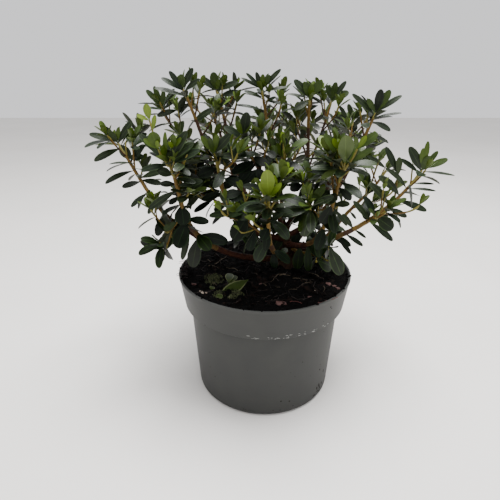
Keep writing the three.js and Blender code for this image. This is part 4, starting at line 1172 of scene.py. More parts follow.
# More of them, by the pixels where the photo shows their foot and tip. Each stands on
# the limb that shows there, and its tip comes a little nearer than its foot.
SEEN_LEAVES = [
    # broad old leaves that hang at the lower left
    ("shade_a", (183, 204), (184, 225), 16, 10, 1), ("shade_a", (184, 222), (177, 248), 16.5, 12, 1),
    ("shade_b", (167, 213), (157, 236), 10.5, 20, 1), ("fresh_b", (175, 219), (164, 230), 7.5, 14, 0.9),
    ("shade_a", (192, 216), (209, 222), 8.5, 16, 0.8), ("shade_a", (200, 232), (228, 242), 12, 14, 0.9),
    ("old_c", (196, 240), (192, 269), 14.5, 12, 1), ("old_b", (186, 238), (182, 260), 7, 14, 1),
    ("shade_b", (179, 198), (169, 204), 6, 14, 0.8),
    # spread leaves along the left shoots
    ("old_b", (121, 149), (94, 161), 8.5, 24, 0.8), ("old_a", (134, 172), (102, 185), 6.5, 50, 0.8),
    ("old_c", (141, 182), (122, 187), 7, 16, 0.8), ("old_a", (150, 192), (131, 207), 6, 26, 0.8),
    ("old_b", (157, 203), (148, 214), 6, 14, 0.6), ("old_b", (140, 178), (165, 171), 8, 20, 0.7),
    ("old_a", (141, 180), (162, 184), 7, 20, 0.8), ("old_b", (118, 143), (130, 158), 11, 12, 0.9),
    ("old_b", (127, 158), (144, 157), 8.5, 20, 0.8), ("old_b", (118, 143), (132, 121), 8, 16, 1),
    ("old_b", (117, 142), (89, 134), 7.5, 16, 0.8), ("old_a", (116, 142), (102, 126), 8, 14, 1),
    ("fresh_b", (118, 143), (110, 131), 6, 12, 1), ("young_b", (118, 142), (119, 127), 5, 12, 1),
    ("old_a", (132, 165), (146, 144), 4.5, 12, 0.6), ("old_b", (166, 160), (139, 134), 7, 12, 0.8),
    ("old_b", (170, 162), (187, 131), 9.5, 14, 1), ("old_b", (170, 163), (194, 143), 7, 18, 0.8),
    ("old_a", (170, 165), (200, 150), 8.5, 24, 0.8), ("old_a", (170, 165), (141, 171), 7, 26, 0.7),
    ("old_b", (173, 176), (157, 170), 9, 16, 0.9), ("old_c", (176, 184), (160, 184), 6.5, 14, 0.8),
    ("old_b", (178, 186), (203, 181), 7, 14, 0.8), ("old_b", (172, 191), (149, 209), 8, 20, 0.8),
    ("old_b", (176, 179), (196, 183), 6, 18, 0.7),
    # the tops, from the left
    ("old_b", (161, 110), (179, 98), 6, 20, 0.7), ("old_b", (178, 110), (157, 116), 8, 16, 0.8),
    ("fresh_b", (161, 106), (146, 90), 6.5, 14, 0.8), ("fresh_a", (161, 108), (154, 86), 6, 12, 0.9),
    ("fresh_a", (161, 108), (164, 90), 5.5, 12, 1), ("old_a", (185, 92), (161, 78), 6.5, 16, 0.7),
    ("old_a", (184, 90), (169, 71), 6, 14, 0.9), ("old_b", (187, 97), (154, 88), 6, 20, 0.6),
    ("old_b", (184, 88), (193, 68), 7, 14, 1), ("fresh_a", (183, 89), (181, 74), 7.5, 12, 1),
    ("old_b", (184, 90), (200, 79), 6.5, 16, 0.9), ("fresh_a", (216, 90), (213, 72), 9.5, 12, 1),
    ("old_b", (214, 92), (201, 77), 7.5, 16, 0.9), ("fresh_b", (218, 91), (227, 75), 8, 14, 1),
    ("old_b", (218, 92), (238, 82), 7.5, 16, 0.9), ("old_a", (218, 96), (240, 92), 8, 20, 0.8),
    ("young_b", (216, 90), (219, 79), 5, 12, 1), ("old_b", (219, 106), (194, 122), 8, 20, 0.8),
    ("old_a", (260, 86), (246, 73), 4.5, 12, 0.8), ("old_b", (260, 90), (241, 78), 4.5, 14, 0.7),
    ("old_b", (261, 87), (256, 72), 5.5, 12, 1), ("young_b", (262, 88), (263, 74), 5.5, 10, 1),
    ("fresh_a", (263, 88), (270, 75), 5.5, 12, 1), ("old_b", (264, 88), (281, 69), 5.5, 14, 0.9),
    ("old_b", (264, 92), (287, 87), 4.5, 14, 0.6), ("old_b", (261, 97), (244, 91), 5, 14, 0.7),
    ("old_a", (265, 102), (276, 97), 4.5, 14, 0.7), ("old_a", (265, 101), (285, 105), 4.5, 16, 0.6),
    ("old_a", (264, 112), (236, 105), 4.5, 24, 0.6), ("fresh_a", (310, 97), (305, 82), 8, 12, 1),
    ("fresh_a", (311, 97), (321, 81), 8.5, 12, 1), ("young_b", (310, 97), (312, 84), 6, 10, 1),
    ("old_b", (309, 99), (287, 94), 4, 14, 0.6), ("old_b", (309, 100), (294, 110), 6.5, 14, 0.8),
    ("fresh_b", (330, 99), (327, 85), 7, 12, 1), ("fresh_a", (331, 99), (336, 82), 7, 12, 1),
    ("fresh_b", (332, 101), (349, 92), 8.5, 16, 0.9), ("old_b", (350, 119), (339, 106), 5, 12, 0.9),
    ("fresh_b", (352, 119), (348, 104), 6.5, 12, 1), ("fresh_b", (354, 120), (362, 108), 6, 12, 1),
    ("old_c", (354, 121), (353, 132), 10, 12, 1), ("old_b", (351, 121), (339, 115), 5, 14, 0.7),
    ("old_b", (371, 113), (352, 94), 6.5, 14, 0.9), ("old_c", (375, 112), (381, 89), 9, 12, 1),
    ("fresh_a", (374, 112), (367, 99), 6.5, 12, 1), ("old_a", (374, 119), (402, 113), 4, 12, 0.5),
    # whorls in the middle
    ("old_b", (243, 134), (247, 112), 10, 14, 1), ("young_b", (243, 135), (236, 121), 6, 12, 1),
    ("young_b", (244, 135), (251, 121), 5.5, 12, 1), ("old_a", (242, 138), (224, 127), 7.5, 18, 0.8),
    ("young_b", (213, 152), (201, 136), 6, 14, 1), ("young_b", (214, 152), (217, 134), 5.5, 12, 1),
    ("fresh_a", (214, 152), (209, 138), 5, 10, 1), ("old_b", (217, 152), (231, 134), 8.5, 16, 1),
    ("old_b", (216, 156), (241, 157), 7, 18, 0.8), ("fresh_b", (280, 158), (270, 138), 6.5, 14, 1),
    ("old_b", (281, 158), (286, 138), 8, 14, 1), ("young_b", (281, 158), (277, 143), 5, 10, 1),
    ("fresh_b", (331, 200), (300, 197), 5, 40, 0.6), ("fresh_b", (305, 202), (272, 207), 5, 20, 0.6),
    ("old_c", (250, 158), (268, 165), 9, 16, 0.9), ("shade_a", (247, 165), (232, 173), 9.5, 14, 0.9),
    ("shade_a", (250, 170), (262, 179), 9, 14, 0.9), ("shade_b", (262, 190), (243, 186), 7.5, 20, 0.8),
    ("shade_b", (252, 196), (236, 205), 9, 14, 0.9), ("shade_a", (247, 150), (228, 158), 8.5, 16, 0.8),
    ("shade_a", (211, 206), (194, 212), 6.5, 16, 0.8), ("shade_b", (240, 190), (224, 196), 9, 16, 0.9),
    ("shade_b", (256, 166), (240, 171), 9.5, 14, 0.9), ("shade_a", (256, 171), (243, 184), 9.5, 14, 0.9),
    ("shade_a", (247, 166), (239, 181), 9, 12, 1), ("shade_b", (236, 182), (222, 189), 8, 14, 0.9),
    ("shade_a", (268, 160), (256, 166), 8, 14, 0.9), ("shade_b", (305, 184), (290, 190), 8.5, 14, 0.9),
    ("shade_a", (244, 197), (229, 199), 7.5, 14, 0.9), ("shade_b", (262, 178), (247, 177), 8.5, 16, 0.9),
    ("shade_b", (236, 168), (220, 161), 9, 16, 0.8), ("old_c", (262, 150), (276, 157), 8, 16, 0.8),
    ("shade_b", (219, 168), (198, 176), 11, 14, 0.9), ("shade_a", (224, 178), (244, 186), 10, 14, 0.9),
    ("shade_b", (222, 193), (202, 200), 8.5, 16, 0.8), ("shade_b", (230, 201), (214, 211), 8.5, 16, 0.8),
    ("shade_c", (236, 213), (209, 216), 7.5, 20, 0.8), ("old_c", (336, 207), (321, 224), 11, 14, 1),
    ("old_c", (338, 187), (351, 200), 8, 30, 0.8), ("old_b", (331, 204), (350, 204), 6.5, 24, 0.8),
    ("old_b", (340, 210), (347, 226), 4.5, 16, 0.7), ("old_a", (348, 209), (356, 219), 3.6, 14, 0.7),
    # hanging ones in the middle
    ("shade_b", (245, 216), (233, 240), 16.5, 10, 1), ("shade_a", (255, 228), (249, 251), 10, 14, 1),
    ("shade_c", (284, 228), (271, 252), 14, 12, 1), ("shade_b", (270, 230), (265, 251), 8, 14, 1),
    ("shade_b", (297, 226), (294, 244), 11, 14, 1), ("shade_c", (300, 247), (297, 269), 12.5, 12, 1),
    ("shade_c", (308, 246), (308, 271), 9, 18, 0.9), ("shade_a", (322, 226), (317, 250), 11.5, 14, 1),
    ("shade_a", (271, 226), (262, 240), 10, 14, 1), ("old_b", (327, 245), (341, 275), 14.5, 14, 1),
    ("shade_a", (330, 236), (351, 246), 8.5, 26, 0.7), ("shade_b", (337, 238), (351, 254), 5.5, 14, 0.8),
    ("shade_a", (262, 214), (255, 229), 9, 14, 1),
    # thin drooping ones along the right bough
    ("old_a", (346, 232), (363, 246), 5.5, 16, 0.8), ("old_a", (353, 229), (366, 238), 4, 14, 0.6),
    ("old_a", (368, 221), (393, 241), 7.5, 20, 0.8), ("old_b", (374, 217), (393, 229), 15, 14, 1),
    ("old_b", (385, 207), (407, 217), 7, 14, 0.9), ("old_a", (396, 200), (427, 211), 7.5, 20, 0.9),
    ("old_b", (399, 194), (377, 175), 9.5, 44, 0.8), ("old_b", (388, 205), (367, 180), 8.5, 40, 0.8),
    ("old_b", (405, 188), (385, 168), 6.5, 46, 0.7), ("old_a", (411, 183), (434, 184), 3.6, 10, 0.5),
    ("old_a", (407, 188), (436, 191), 4, 14, 0.5), ("old_b", (420, 172), (458, 176), 4.5, 10, 0.4),
    ("old_b", (369, 220), (353, 201), 7, 16, 0.8), ("old_b", (352, 229), (342, 214), 6.5, 14, 0.8),
    # the far right whorls
    ("old_b", (421, 170), (409, 147), 10.5, 20, 1), ("old_a", (419, 172), (400, 159), 6, 20, 0.8),
    ("young_b", (422, 169), (428, 141), 6, 10, 0.9), ("fresh_a", (422, 169), (438, 151), 5.5, 14, 0.9),
    ("fresh_a", (422, 170), (448, 159), 7, 14, 0.9), ("young_b", (422, 170), (423, 148), 8, 10, 0.9),
    ("fresh_a", (422, 171), (431, 156), 10.5, 10, 1), ("old_a", (397, 175), (385, 146), 7.5, 16, 0.9),
    ("fresh_b", (397, 175), (399, 157), 7, 12, 0.9),
    ("old_b", (386, 167), (367, 156), 6.5, 16, 0.8),
]
# Gaps in the crown that the photo shows: pixel and reach. The leaves that grow by rule
# leave them open.
CROWN_GAPS = [
    (200, 103, 3.5), (208, 120, 3.5), (210, 127, 4), (195, 135, 3), (242, 101, 5), (247, 110, 4),
    (200, 201, 4), (222, 225, 6.5), (323, 105, 4.5), (298, 115, 3), (335, 109, 5), (298, 137, 3.5),
    (282, 130, 3.5), (294, 155, 3.5), (358, 130, 3), (352, 176, 3.5), (372, 175, 3), (375, 203, 4),
    (396, 176, 4), (385, 182, 4), (343, 216, 3), (326, 236, 3), (389, 160, 5), (378, 150, 4),
    (404, 140, 5), (152, 120, 4), (395, 192, 5), (223, 131, 3), (254, 139, 2.5), (266, 135, 3.5),
    (274, 129, 3), (318, 112, 3), (236, 128, 2.5),
]
# A limb carries such a leaf if it shows as near its foot as this, the nearest to the eye first
SEEN_REACH = 6
SEEN_NUDGE = 1.5
PIXELS_COUNT = 3
DEPTH_COUNTS = 0.15
TIP_NEARER = 4
# How far, in pixels past its own half width, no other leaf stands in front of such a leaf
SEEN_CLEAR = 1.5
# How far, in pixels, the middle of a leaf stays from the edge of a gap
GAP_CLEAR = 1
# A single leaf starts on the nearest limb or twig, if one is as near as this
REACH_OF_STALK = 9
# The shares of a limb's length where a single leaf may start
FEATURE_MARKS = np.linspace(0, 1, 60)
SEEN_MARKS = np.linspace(0.05, 1, 40)
SINGLE_FOLD = 0.16
# Green stalks of young shoots, each through four points in millimetres
YOUNG_STALKS = [
    [(-92, -50, 278), (-98, -48, 286), (-101, -47, 294), (-103, -46, 303)],
    [(-89, -50, 264), (-91, -51, 269), (-94, -53, 274), (-96, -54, 280)],
    [(-88, -49, 264), (-87, -50, 270), (-85, -50, 275), (-83, -51, 280)],
    [(62, -77, 266), (59, -79, 272), (56, -81, 278), (54, -82, 284)],
    [(62, -78, 267), (65, -79, 272), (68, -80, 278), (70, -81, 284)],
]
FACING_FRONT = np.array([0, -1, 0.45])


def camera_ways():
    """Where the camera is, in millimetres, and its directions ahead and up."""
    pitch = math.radians(CAMERA_PITCH)
    ahead = np.array([0, math.cos(pitch), -math.sin(pitch)])
    above = np.array([0, math.sin(pitch), math.cos(pitch)])
    return np.array(CAMERA_PLACE) / MM, ahead, above


def on_photo(points):
    """The pixels where points show in the photo, and how far they lie from the camera."""
    place, ahead, above = camera_ways()
    apart = np.asarray(points) - place
    depths = apart @ ahead
    across = np.stack([apart[:, 0], -(apart @ above)], axis=1)
    return PHOTO_PIXELS / 2 + FOCAL_PIXELS * across / depths[:, None], depths


def seen_at(pixel, y):
    """The point that shows at a pixel and lies as far back as y."""
    place, ahead, above = camera_ways()
    right, down = ((value - PHOTO_PIXELS / 2) / FOCAL_PIXELS for value in pixel)
    ray = np.array([right, 0, 0]) + ahead - above * down
    return place + ray * (y - place[1]) / ray[1]


def add_single(leaves, root, tip, width, bend, turned):
    """A leaf that arches by so many degrees from a point on a limb to a given tip."""
    chord = np.subtract(tip, root)
    length = min(MOST_LEAF_LENGTH, np.linalg.norm(chord))
    chord = unit(chord)
    looks = UP * (1 - turned) + FACING_FRONT * turned
    face = unit(looks - chord * chord.dot(looks))
    half = math.radians(bend) / 2
    way = chord * math.cos(half) + face * math.sin(half)
    face = face * math.cos(half) - chord * math.sin(half)
    leaves.add(root, way, face, length * half / math.sin(half), width, 2 * half, SINGLE_FOLD, 0)


def add_feature_leaves(kinds, limbs, grown):
    lines = [*limbs.values(), *itertools.chain(*grown)]
    places = [line.at(line.time(FEATURE_MARKS)) for line in lines]
    places = np.concatenate([*places, np.array(YOUNG_STALKS, float).reshape(-1, 3)])
    for kind, foot, tip, width, bend, turned in FEATURE_LEAVES:
        gaps = np.linalg.norm(places - np.array(foot), axis=1)
        if gaps.min() < REACH_OF_STALK:
            add_single(kinds[kind], places[gaps.argmin()], tip, width, bend, turned)


def add_seen_leaves(kinds, limbs, grown):
    lines = [limb for name, limb in limbs.items() if name != "trunk"]
    lines += [shoot for shoots in grown for shoot in shoots if shoot.grade != "fine"]
    places = np.concatenate([line.at(line.time(SEEN_MARKS)) for line in lines])
    pixels = on_photo(places)[0]
    for kind, foot, tip, width, bend, turned in SEEN_LEAVES:
        off = np.linalg.norm(pixels - foot, axis=1)
        cost = PIXELS_COUNT * off + DEPTH_COUNTS * places[:, 1]
        cost[off > max(SEEN_REACH, off.min() + SEEN_NUDGE)] = math.inf
        root = places[cost.argmin()]
        add_single(kinds[kind], root, seen_at(tip, root[1] - TIP_NEARER), width, bend, turned)


def make_kinds():
    """Every kind of leaf with its materials, and no leaves yet."""
    under_old = leaf_material("leaf_underside_old", UNDER_OLD, UNDER_ROUGHNESS)
    under_young = leaf_material("leaf_underside_young", UNDER_YOUNG, UNDER_ROUGHNESS)
    kinds = {}
    for name, (dark, light, widest) in LEAF_FINISHES.items():
        # Old and shade leaves get pale edges: partly their own margin, partly a painted highlight of the
        # light on them
        edge_lit = name.startswith(("old", "shade"))
        shine = SHADE_SHINE if name.startswith("shade") else LEAF_SHINE
        gain = OLD_RIB_GAIN if edge_lit else YOUNG_RIB_GAIN
        pale = [tuple(round(value * gain + RIB_LIFT) for value in colour) for colour in (dark, light)]
        materials = [
            leaf_material("leaf_" + name, (dark, light), shine=shine),
            leaf_material("rib_" + name, pale, shine=shine),
            under_old if edge_lit else under_young,
        ]
        kinds[name] = Leaves(widest, LEAF_COLUMNS, RIB_AND_LIT_EDGES if edge_lit else RIB_ONLY, materials)
    return kinds


def make_leaves(limbs, grown):
    """All the leaves of the crown, each kind one piece."""
    kinds = make_kinds()
    add_feature_leaves(kinds, limbs, grown)
    add_seen_leaves(kinds, limbs, grown)
    rule = LeafRule(limbs, kinds)
    rule.keep_clear_of_singles()
    for index, shoots in enumerate(grown):
        random = random_from(LEAF_SEED + index)
        for shoot in shoots:
            rule.dress(shoot, random, FULLNESS.get(MASSES[index][0], 1))
    random = random_from(HANGING_SEED)
    for name, bough in limbs.items():
        if name != "trunk":
            rule.hang_from(bough, random, BARE_TO.get(name, BOUGH_LEAF_FROM))
    return [leaves.make("leaves_" + name) for name, leaves in kinds.items()]


# Twigs and bark

# How far along a shoot its bark turns tan, and then green, and the same on high shoots
BARK_TURNS = {"main": (0.12, 0.8), "side": (0.1, 0.7), "fine": (0, 0.3)}
HIGH_BARK_TURNS = {"main": (0.74, 0.94), "side": (0.5, 0.85), "fine": (0.1, 0.5)}
# How far along a bough its bark is still red
BARK_TURNS_TAN = {"left_low": 0.74, "far_left": 0.5, "right_low": 0.45, "right_mid": 0.4, "right_front": 0.7}
BARK_RED_TO = 0.85
# A step is a length along a limb. A collar has a height and the way in which it falls off.
DRAWN_THICKER = 1.02
TWIG_SIDES = 7
TWIG_STEP = 3.2
TWIG_TAPER = 1.3
TWIG_RIPPLE = 0.07
TWIG_RIPPLE_PER_MM = 1.3
TWIG_COLLAR = (0.5, 2.5)
TWIG_END = 0.45
AT_END = 0.999
STALK_RADIUS = 1.15
STALK_THINS_BY = 0.4
GREEN_SLOT = 2
BOUGH_SIDES = 22
BOUGH_STEP = 1.3
BOUGH_COLLAR = (1.1, 5)
BOUGH_COLLAR_FROM = 4
BOUGH_RELIEF = 0.22
BOUGH_FISSURES = (2.2, 6)
BOUGH_GRAIN_APART = 7.0
BOUGH_RING = 0.12
BOUGH_RING_TURN = 0.55
BOUGH_RING_POWER = 8
TRUNK_SIDES = 48
TRUNK_PARTS = 60
TRUNK_RELIEF = 0.55
TRUNK_FISSURES = (2.6, 7)
TRUNK_GRAIN = (3.0, 1, 0)
FINE_FISSURE = 2.3


def fissures(point, along, angle, scale, stretch):
    """Coarse and fine noise, drawn out along a limb."""
    where = Vector((math.cos(angle) * scale, math.sin(angle) * scale, along / stretch))
    return noise.noise(where + Vector(point)) + 0.5 * noise.noise(where * FINE_FISSURE + Vector(point))


def draw_twig(bm, shoot):
    """One shoot's twig, with a collar at its foot."""
    steps = max(3, round(shoot.length / TWIG_STEP))
    points = shoot.at(shoot.time(np.linspace(0, 1, steps + 1)))
    high = points[-1][2] > SOIL_TOP + HIGH_TIP
    tan_from, green_from = (HIGH_BARK_TURNS if high else BARK_TURNS)[shoot.grade]

    def slot_at(along):
        return int(along > tan_from) + int(along > green_from)

    def radius_at(share, travel, angle):
        swell = DRAWN_THICKER + TWIG_RIPPLE * math.sin(travel * TWIG_RIPPLE_PER_MM + angle)
        tip = TWIG_END if share > AT_END else 1
        collar = TWIG_COLLAR[0] * math.exp(-travel / TWIG_COLLAR[1])
        return (shoot.radius(share ** TWIG_TAPER) * swell + collar) * tip

    add_limb(bm, points, TWIG_SIDES, radius_at, slot_at)


def make_twigs(grown):
    """Every shoot's twig: old wood at its foot, then tan, then green at its tip."""
    bm = bmesh.new()
    for shoot in itertools.chain(*grown):
        draw_twig(bm, shoot)

    def stalk_radius(share, travel, angle):
        return STALK_RADIUS - STALK_THINS_BY * share

    for stalk in YOUNG_STALKS:
        add_limb(bm, stalk, TWIG_SIDES, stalk_radius, lambda along: GREEN_SLOT)
    bmesh.ops.recalc_face_normals(bm, faces=bm.faces)
    finishes = [finish("twig_old"), finish("twig_tan"), finish("twig_green")]
    return object_from_bmesh("shoot_twigs", bm, finishes, smooth_angle=60)


def draw_bough(bm, number, limb, red_to):
    """One bough, with a collar at its foot, the relief of its bark and its old leaf rings."""
    steps = round(limb.length / BOUGH_STEP)
    points = limb.at(limb.time(np.linspace(0, 1, steps + 1)))

    def radius_at(share, travel, angle):
        collar = BOUGH_COLLAR[0] * math.exp(-max(0, travel - BOUGH_COLLAR_FROM) / BOUGH_COLLAR[1])
        relief = BOUGH_RELIEF * fissures((number * BOUGH_GRAIN_APART, 0, 0), travel, angle, *BOUGH_FISSURES)
        ring = BOUGH_RING * math.sin(travel * BOUGH_RING_TURN + number) ** BOUGH_RING_POWER
        return limb.radius(share) + collar + relief + ring

    add_limb(bm, points, BOUGH_SIDES, radius_at, lambda along: int(along > red_to))


def make_boughs(limbs):
    bm = bmesh.new()
    for number, (name, limb) in enumerate(limbs.items()):
        if name != "trunk":
            draw_bough(bm, number, limb, BARK_TURNS_TAN.get(name, BARK_RED_TO))
    bmesh.ops.recalc_face_normals(bm, faces=bm.faces)
    return object_from_bmesh("bough_bark", bm, [finish("bark_red"), finish("bark_tan")], smooth_angle=70)


def make_trunk(limb):
    """The trunk with its lobed flare and furrows."""
    bm = bmesh.new()
    points = limb.at(np.linspace(0, 1, TRUNK_PARTS + 1))

    def radius_at(share, travel, angle):
        flare = math.exp(-share * FLARE_FALL)
        lobes = 1 + LOBE_DEPTH * flare * math.cos(ROOT_LOBES * angle)
        relief = TRUNK_RELIEF * fissures(TRUNK_GRAIN, travel, angle, *TRUNK_FISSURES)
        return (limb.radius(share) + ROOT_FLARE * flare) * lobes + relief

    add_limb(bm, points, TRUNK_SIDES, radius_at)
    bmesh.ops.recalc_face_normals(bm, faces=bm.faces)
    return object_from_bmesh("trunk_bark", bm, [finish("bark_old")], smooth_angle=70)


# Pot and potting mix


def lathe(bm, profile, steps):
    """Turns a profile of radius and height pairs once round the vertical axis."""
    verts = [bm.verts.new((radius, 0, z)) for radius, z in profile]
    edges = [bm.edges.new(pair) for pair in zip(verts, verts[1:])]
    bmesh.ops.spin(
        bm, geom=verts + edges, cent=(0, 0, 0), axis=(0, 0, 1), angle=math.tau, steps=steps, use_merge=True
    )
    bmesh.ops.remove_doubles(bm, verts=bm.verts, dist=MERGE_WITHIN)
    bmesh.ops.recalc_face_normals(bm, faces=bm.faces)


def body_radius(z):
    return POT_BASE_RADIUS + (POT_BODY_RADIUS - POT_BASE_RADIUS) * z / POT_BAND_FROM


def inner_radius(z):
    if z < POT_BAND_FROM + POT_WALL:
        return body_radius(z) - POT_WALL
    rise = (z - POT_BAND_FROM) / (POT_HEIGHT - POT_BAND_FROM)
    return POT_BAND_RADIUS + (POT_RIM_RADIUS - POT_BAND_RADIUS) * rise - POT_WALL - LIP_THICKER


def bevel_rings(bm, rings, width):
    """Rounds the ring edges that lie at given radius and height pairs."""
    chosen = []
    for edge in bm.edges:
        ends = [(math.hypot(vert.co.x, vert.co.y), vert.co.z) for vert in edge.verts]
        for radius, z in rings:
            if all(abs(end[0] - radius) < ON_RING and abs(end[1] - z) < ON_RING for end in ends):
                chosen.append(edge)
    bmesh.ops.bevel(
        bm, geom=chosen, offset=width, segments=ROUND_STEPS, profile=0.5, affect="EDGES", material=-1
    )


def make_shell():
    """The pot's wall and floor, turned once round, with its edges rounded."""
    shelf = POT_BAND_FROM + POT_WALL
    lip_from = POT_HEIGHT - POT_LIP
    sole = (POT_BASE_RADIUS - FOOT_INSET, 0)
    foot = (POT_BASE_RADIUS, FOOT_RISE)
    band_edge = (POT_BAND_RADIUS, POT_BAND_FROM + BAND_SLOPE)
    lip_top = (POT_RIM_RADIUS, POT_HEIGHT)
    lip_in = (inner_radius(POT_HEIGHT), POT_HEIGHT)
    profile = [
        (0, 0), sole, foot, (POT_BODY_RADIUS, POT_BAND_FROM), band_edge,
        (POT_RIM_RADIUS - LIP_STEP, lip_from), (POT_RIM_RADIUS, lip_from + LIP_SLOPE), lip_top, lip_in,
        (inner_radius(shelf + SHELF_RISE), shelf + SHELF_RISE), (inner_radius(shelf - UNDER_SHELF), shelf),
        (inner_radius(POT_FLOOR), POT_FLOOR), (0, POT_FLOOR),
    ]
    bm = bmesh.new()
    lathe(bm, profile, POT_STEPS)
    bevel_rings(bm, [foot, sole], FOOT_ROUND)
    bevel_rings(bm, [band_edge], BAND_ROUND)
    bevel_rings(bm, [lip_top, lip_in], LIP_ROUND)
    return object_from_bmesh("pot_shell", bm, [pot_material()], smooth_angle=50)


def make_drain_cutters():
    bm = bmesh.new()
    for i in range(DRAIN_HOLES):
        turn = (i + 0.5) * math.tau / DRAIN_HOLES
        where = Matrix.Translation((DRAIN_RING * math.cos(turn), DRAIN_RING * math.sin(turn), POT_FLOOR / 2))
        bmesh.ops.create_cone(
            bm, cap_ends=True, segments=DRAIN_STEPS, radius1=DRAIN_RADIUS, radius2=DRAIN_RADIUS,
            depth=POT_FLOOR * 3, matrix=where,
        )
    return object_from_bmesh("drain_cutters", bm, [])


def make_pot():
    """The shell with its drain holes cut, as plain mesh without live modifiers."""
    pot = make_shell()
    holes = make_drain_cutters()
    cut = pot.modifiers.new("drain", "BOOLEAN")
    cut.object = holes
    cut.operation = "DIFFERENCE"
    graph = bpy.context.evaluated_depsgraph_get()
    mesh = bpy.data.meshes.new_from_object(pot.evaluated_get(graph))
    pot.modifiers.clear()
    pot.data = mesh
    bpy.data.objects.remove(holes)
    return pot


def soil_height(x, y):
    reach = math.hypot(x, y) / inner_radius(SOIL_TOP)
    from_foot = math.hypot(x - FOOT_X, y - FOOT_Y)
    waves = math.sin(x * SOIL_WAVE_X[0] + SOIL_WAVE_X[1]) * math.cos(y * SOIL_WAVE_Y[0] + SOIL_WAVE_Y[1])
    waves += 0.5 * math.sin((x + y) * SOIL_WAVE_SLANT)
    free = min(1, max(0, (from_foot - SOIL_LEVEL_REACH) / SOIL_WAVE_REACH))
    return SOIL_TOP + free * (SOIL_WAVE * waves - SOIL_EDGE_DROP * reach * reach)


def soil_side_radius(z):
    return inner_radius(z) - CLEAR


def soil_noise(x, y, size_and_layer):
    per_mm, layer = size_and_layer
    return noise.noise(Vector((x * per_mm, y * per_mm, layer)))


def soil_surface(x, y):
    """Top of the loose mix, with its clods and crumbs, heaped a little against the wall."""
    edge = soil_side_radius(SOIL_TOP - SOIL_SIDE_DROP)
    out = math.hypot(x, y)
    relief = CLOD_HEIGHT * soil_noise(x, y, CLODS)
    relief += CRUMB_HEIGHT * abs(soil_noise(x, y, CRUMBS))
    relief += GRIT_HEIGHT * soil_noise(x, y, GRIT)
    heap = SOIL_HEAP * min(1, max(0, out / edge - HEAP_FROM) / HEAP_OVER)
    lively = CALM_AT_EDGE + (1 - CALM_AT_EDGE) * min(1, (edge - out) / CALM_REACH)
    return soil_height(x, y) + heap + relief * lively


def make_soil():
    """The mix down to the pot's floor, with a top of close rings for its relief."""
    side_top = SOIL_TOP - SOIL_SIDE_DROP
    edge = soil_side_radius(side_top)
    shelf = POT_BAND_FROM + POT_WALL
    floor = POT_FLOOR + CLEAR
    profile = [
        (0, floor), (soil_side_radius(POT_FLOOR), floor),
        (soil_side_radius(shelf - UNDER_SHELF), shelf + CLEAR), (soil_side_radius(shelf + 1), shelf + 1),
        (edge, side_top),
    ]
    for i in range(SOIL_RINGS):
        profile.append((edge * SOIL_OUTER_RING * (1 - i / SOIL_RINGS), SOIL_TOP))
    profile.append((0, SOIL_TOP))
    bm = bmesh.new()
    lathe(bm, profile, SOIL_STEPS)
    for vert in bm.verts:
        if vert.co.z > SOIL_TOP - 1:
            vert.co.z = soil_surface(vert.co.x, vert.co.y)
    return object_from_bmesh("soil_bed", bm, [finish("soil_mix", SOIL_DETAIL)], smooth_angle=180)


# Litter on the potting mix

# Name, pattern, how many, seed, reach from the middle, least size and what chance adds,
# finish
STREWN = [
    ("peat_lumps", "lump", 520, 11, 88, (1.1, 2.4), "crumb_peat"),
    ("peat_grains", "grain", 2600, 12, 89.5, (0.4, 0.9), "crumb_peat"),
    ("brown_grains", "grain", 700, 13, 89, (0.4, 1.2), "crumb_brown"),
]
# The other two sizes of a grain, as shares of the first
GRAIN_FLATNESS = ((0.6, 0.4), (0.5, 0.4))
CRUMB_SMOOTH = 30
BARK_CHIPS = 110
BARK_CHIP_SEED = 14
BARK_CHIP_REACH = 86
BARK_CHIP_SIZES = ((1.6, 3.4), (1, 1.6), (0.5, 0.5))
CHIP_TILT = 1.2
CHIP_SUNK = 0.25
CHIP_BEVEL = 0.3
CHIP_WARP = (0.45, 0.9)
LUMP_FEATURES = 1.7
PLACED_SUNK = 0.2
PLACED_TILT = 0.5
ROSY_SEED = 15
PALE_LUMP_TURNS = (0.3, 0.2)
PALE_LUMP_SHAPE = (1, 0.8, 0.7)
RIM_CRUMBS = 90
RIM_CRUMB_SEED = 16
RIM_CRUMB_OUT = (90.5, 4)
RIM_CRUMB_SIZE = (0.4, 0.9)
RIM_CRUMB_LIFT = 0.35
RIM_CRUMB_SHAPE = (1.4, 1, 0.8)
# Loose roots and straws: how many, reach, length, radius, lift, finish
LOOSE_FIBRES = [(120, 80, (6, 14), (0.22, 0.2), 1.2, 0), (18, 76, (5, 9), (0.22, 0.12), 1.4, 1)]
FIBRE_SEED = 21
FIBRE_SIDES = 5
FIBRE_PARTS = 7
FIBRE_WANDER = 0.2
FIBRE_THINS_BY = 0.5
FIBRE_REACH = 90.5
FIBRE_OVER_RIM = 30
STRAW_LIFT = 1.0
# Roots near the rim: bearing of the first, the arc they span, and how they lie
RIM_ROOTS = 16
RIM_ROOTS_FROM = 165
RIM_ROOTS_SPAN = 32
RIM_ROOTS_OUT = 86
RIM_ROOT_LENGTH = (7, 6)
RIM_ROOT_RADIUS = (0.3, 0.15)
RIM_ROOT_WANDER = 1.2
RIM_ROOT_LIFT = 2.6
MOSS_SEED = 31
BLADE_RADII = (0.5, 0.12)
BLADE_SIDES = 4
BLADE_SUNK = 0.3
BLADE_SIZE = (1.1, 0.45)
BLADE_HEIGHT = (1.6, 3.2)
BLADE_TILT = 1.6
PATCH_EDGE = 1.1
FALLEN_FACING = np.array([0, -0.6, 0.8])
FALLEN_WIDEST = 0.58
FALLEN_FOLD = 0.12
FALLEN_TWIST = 0.1


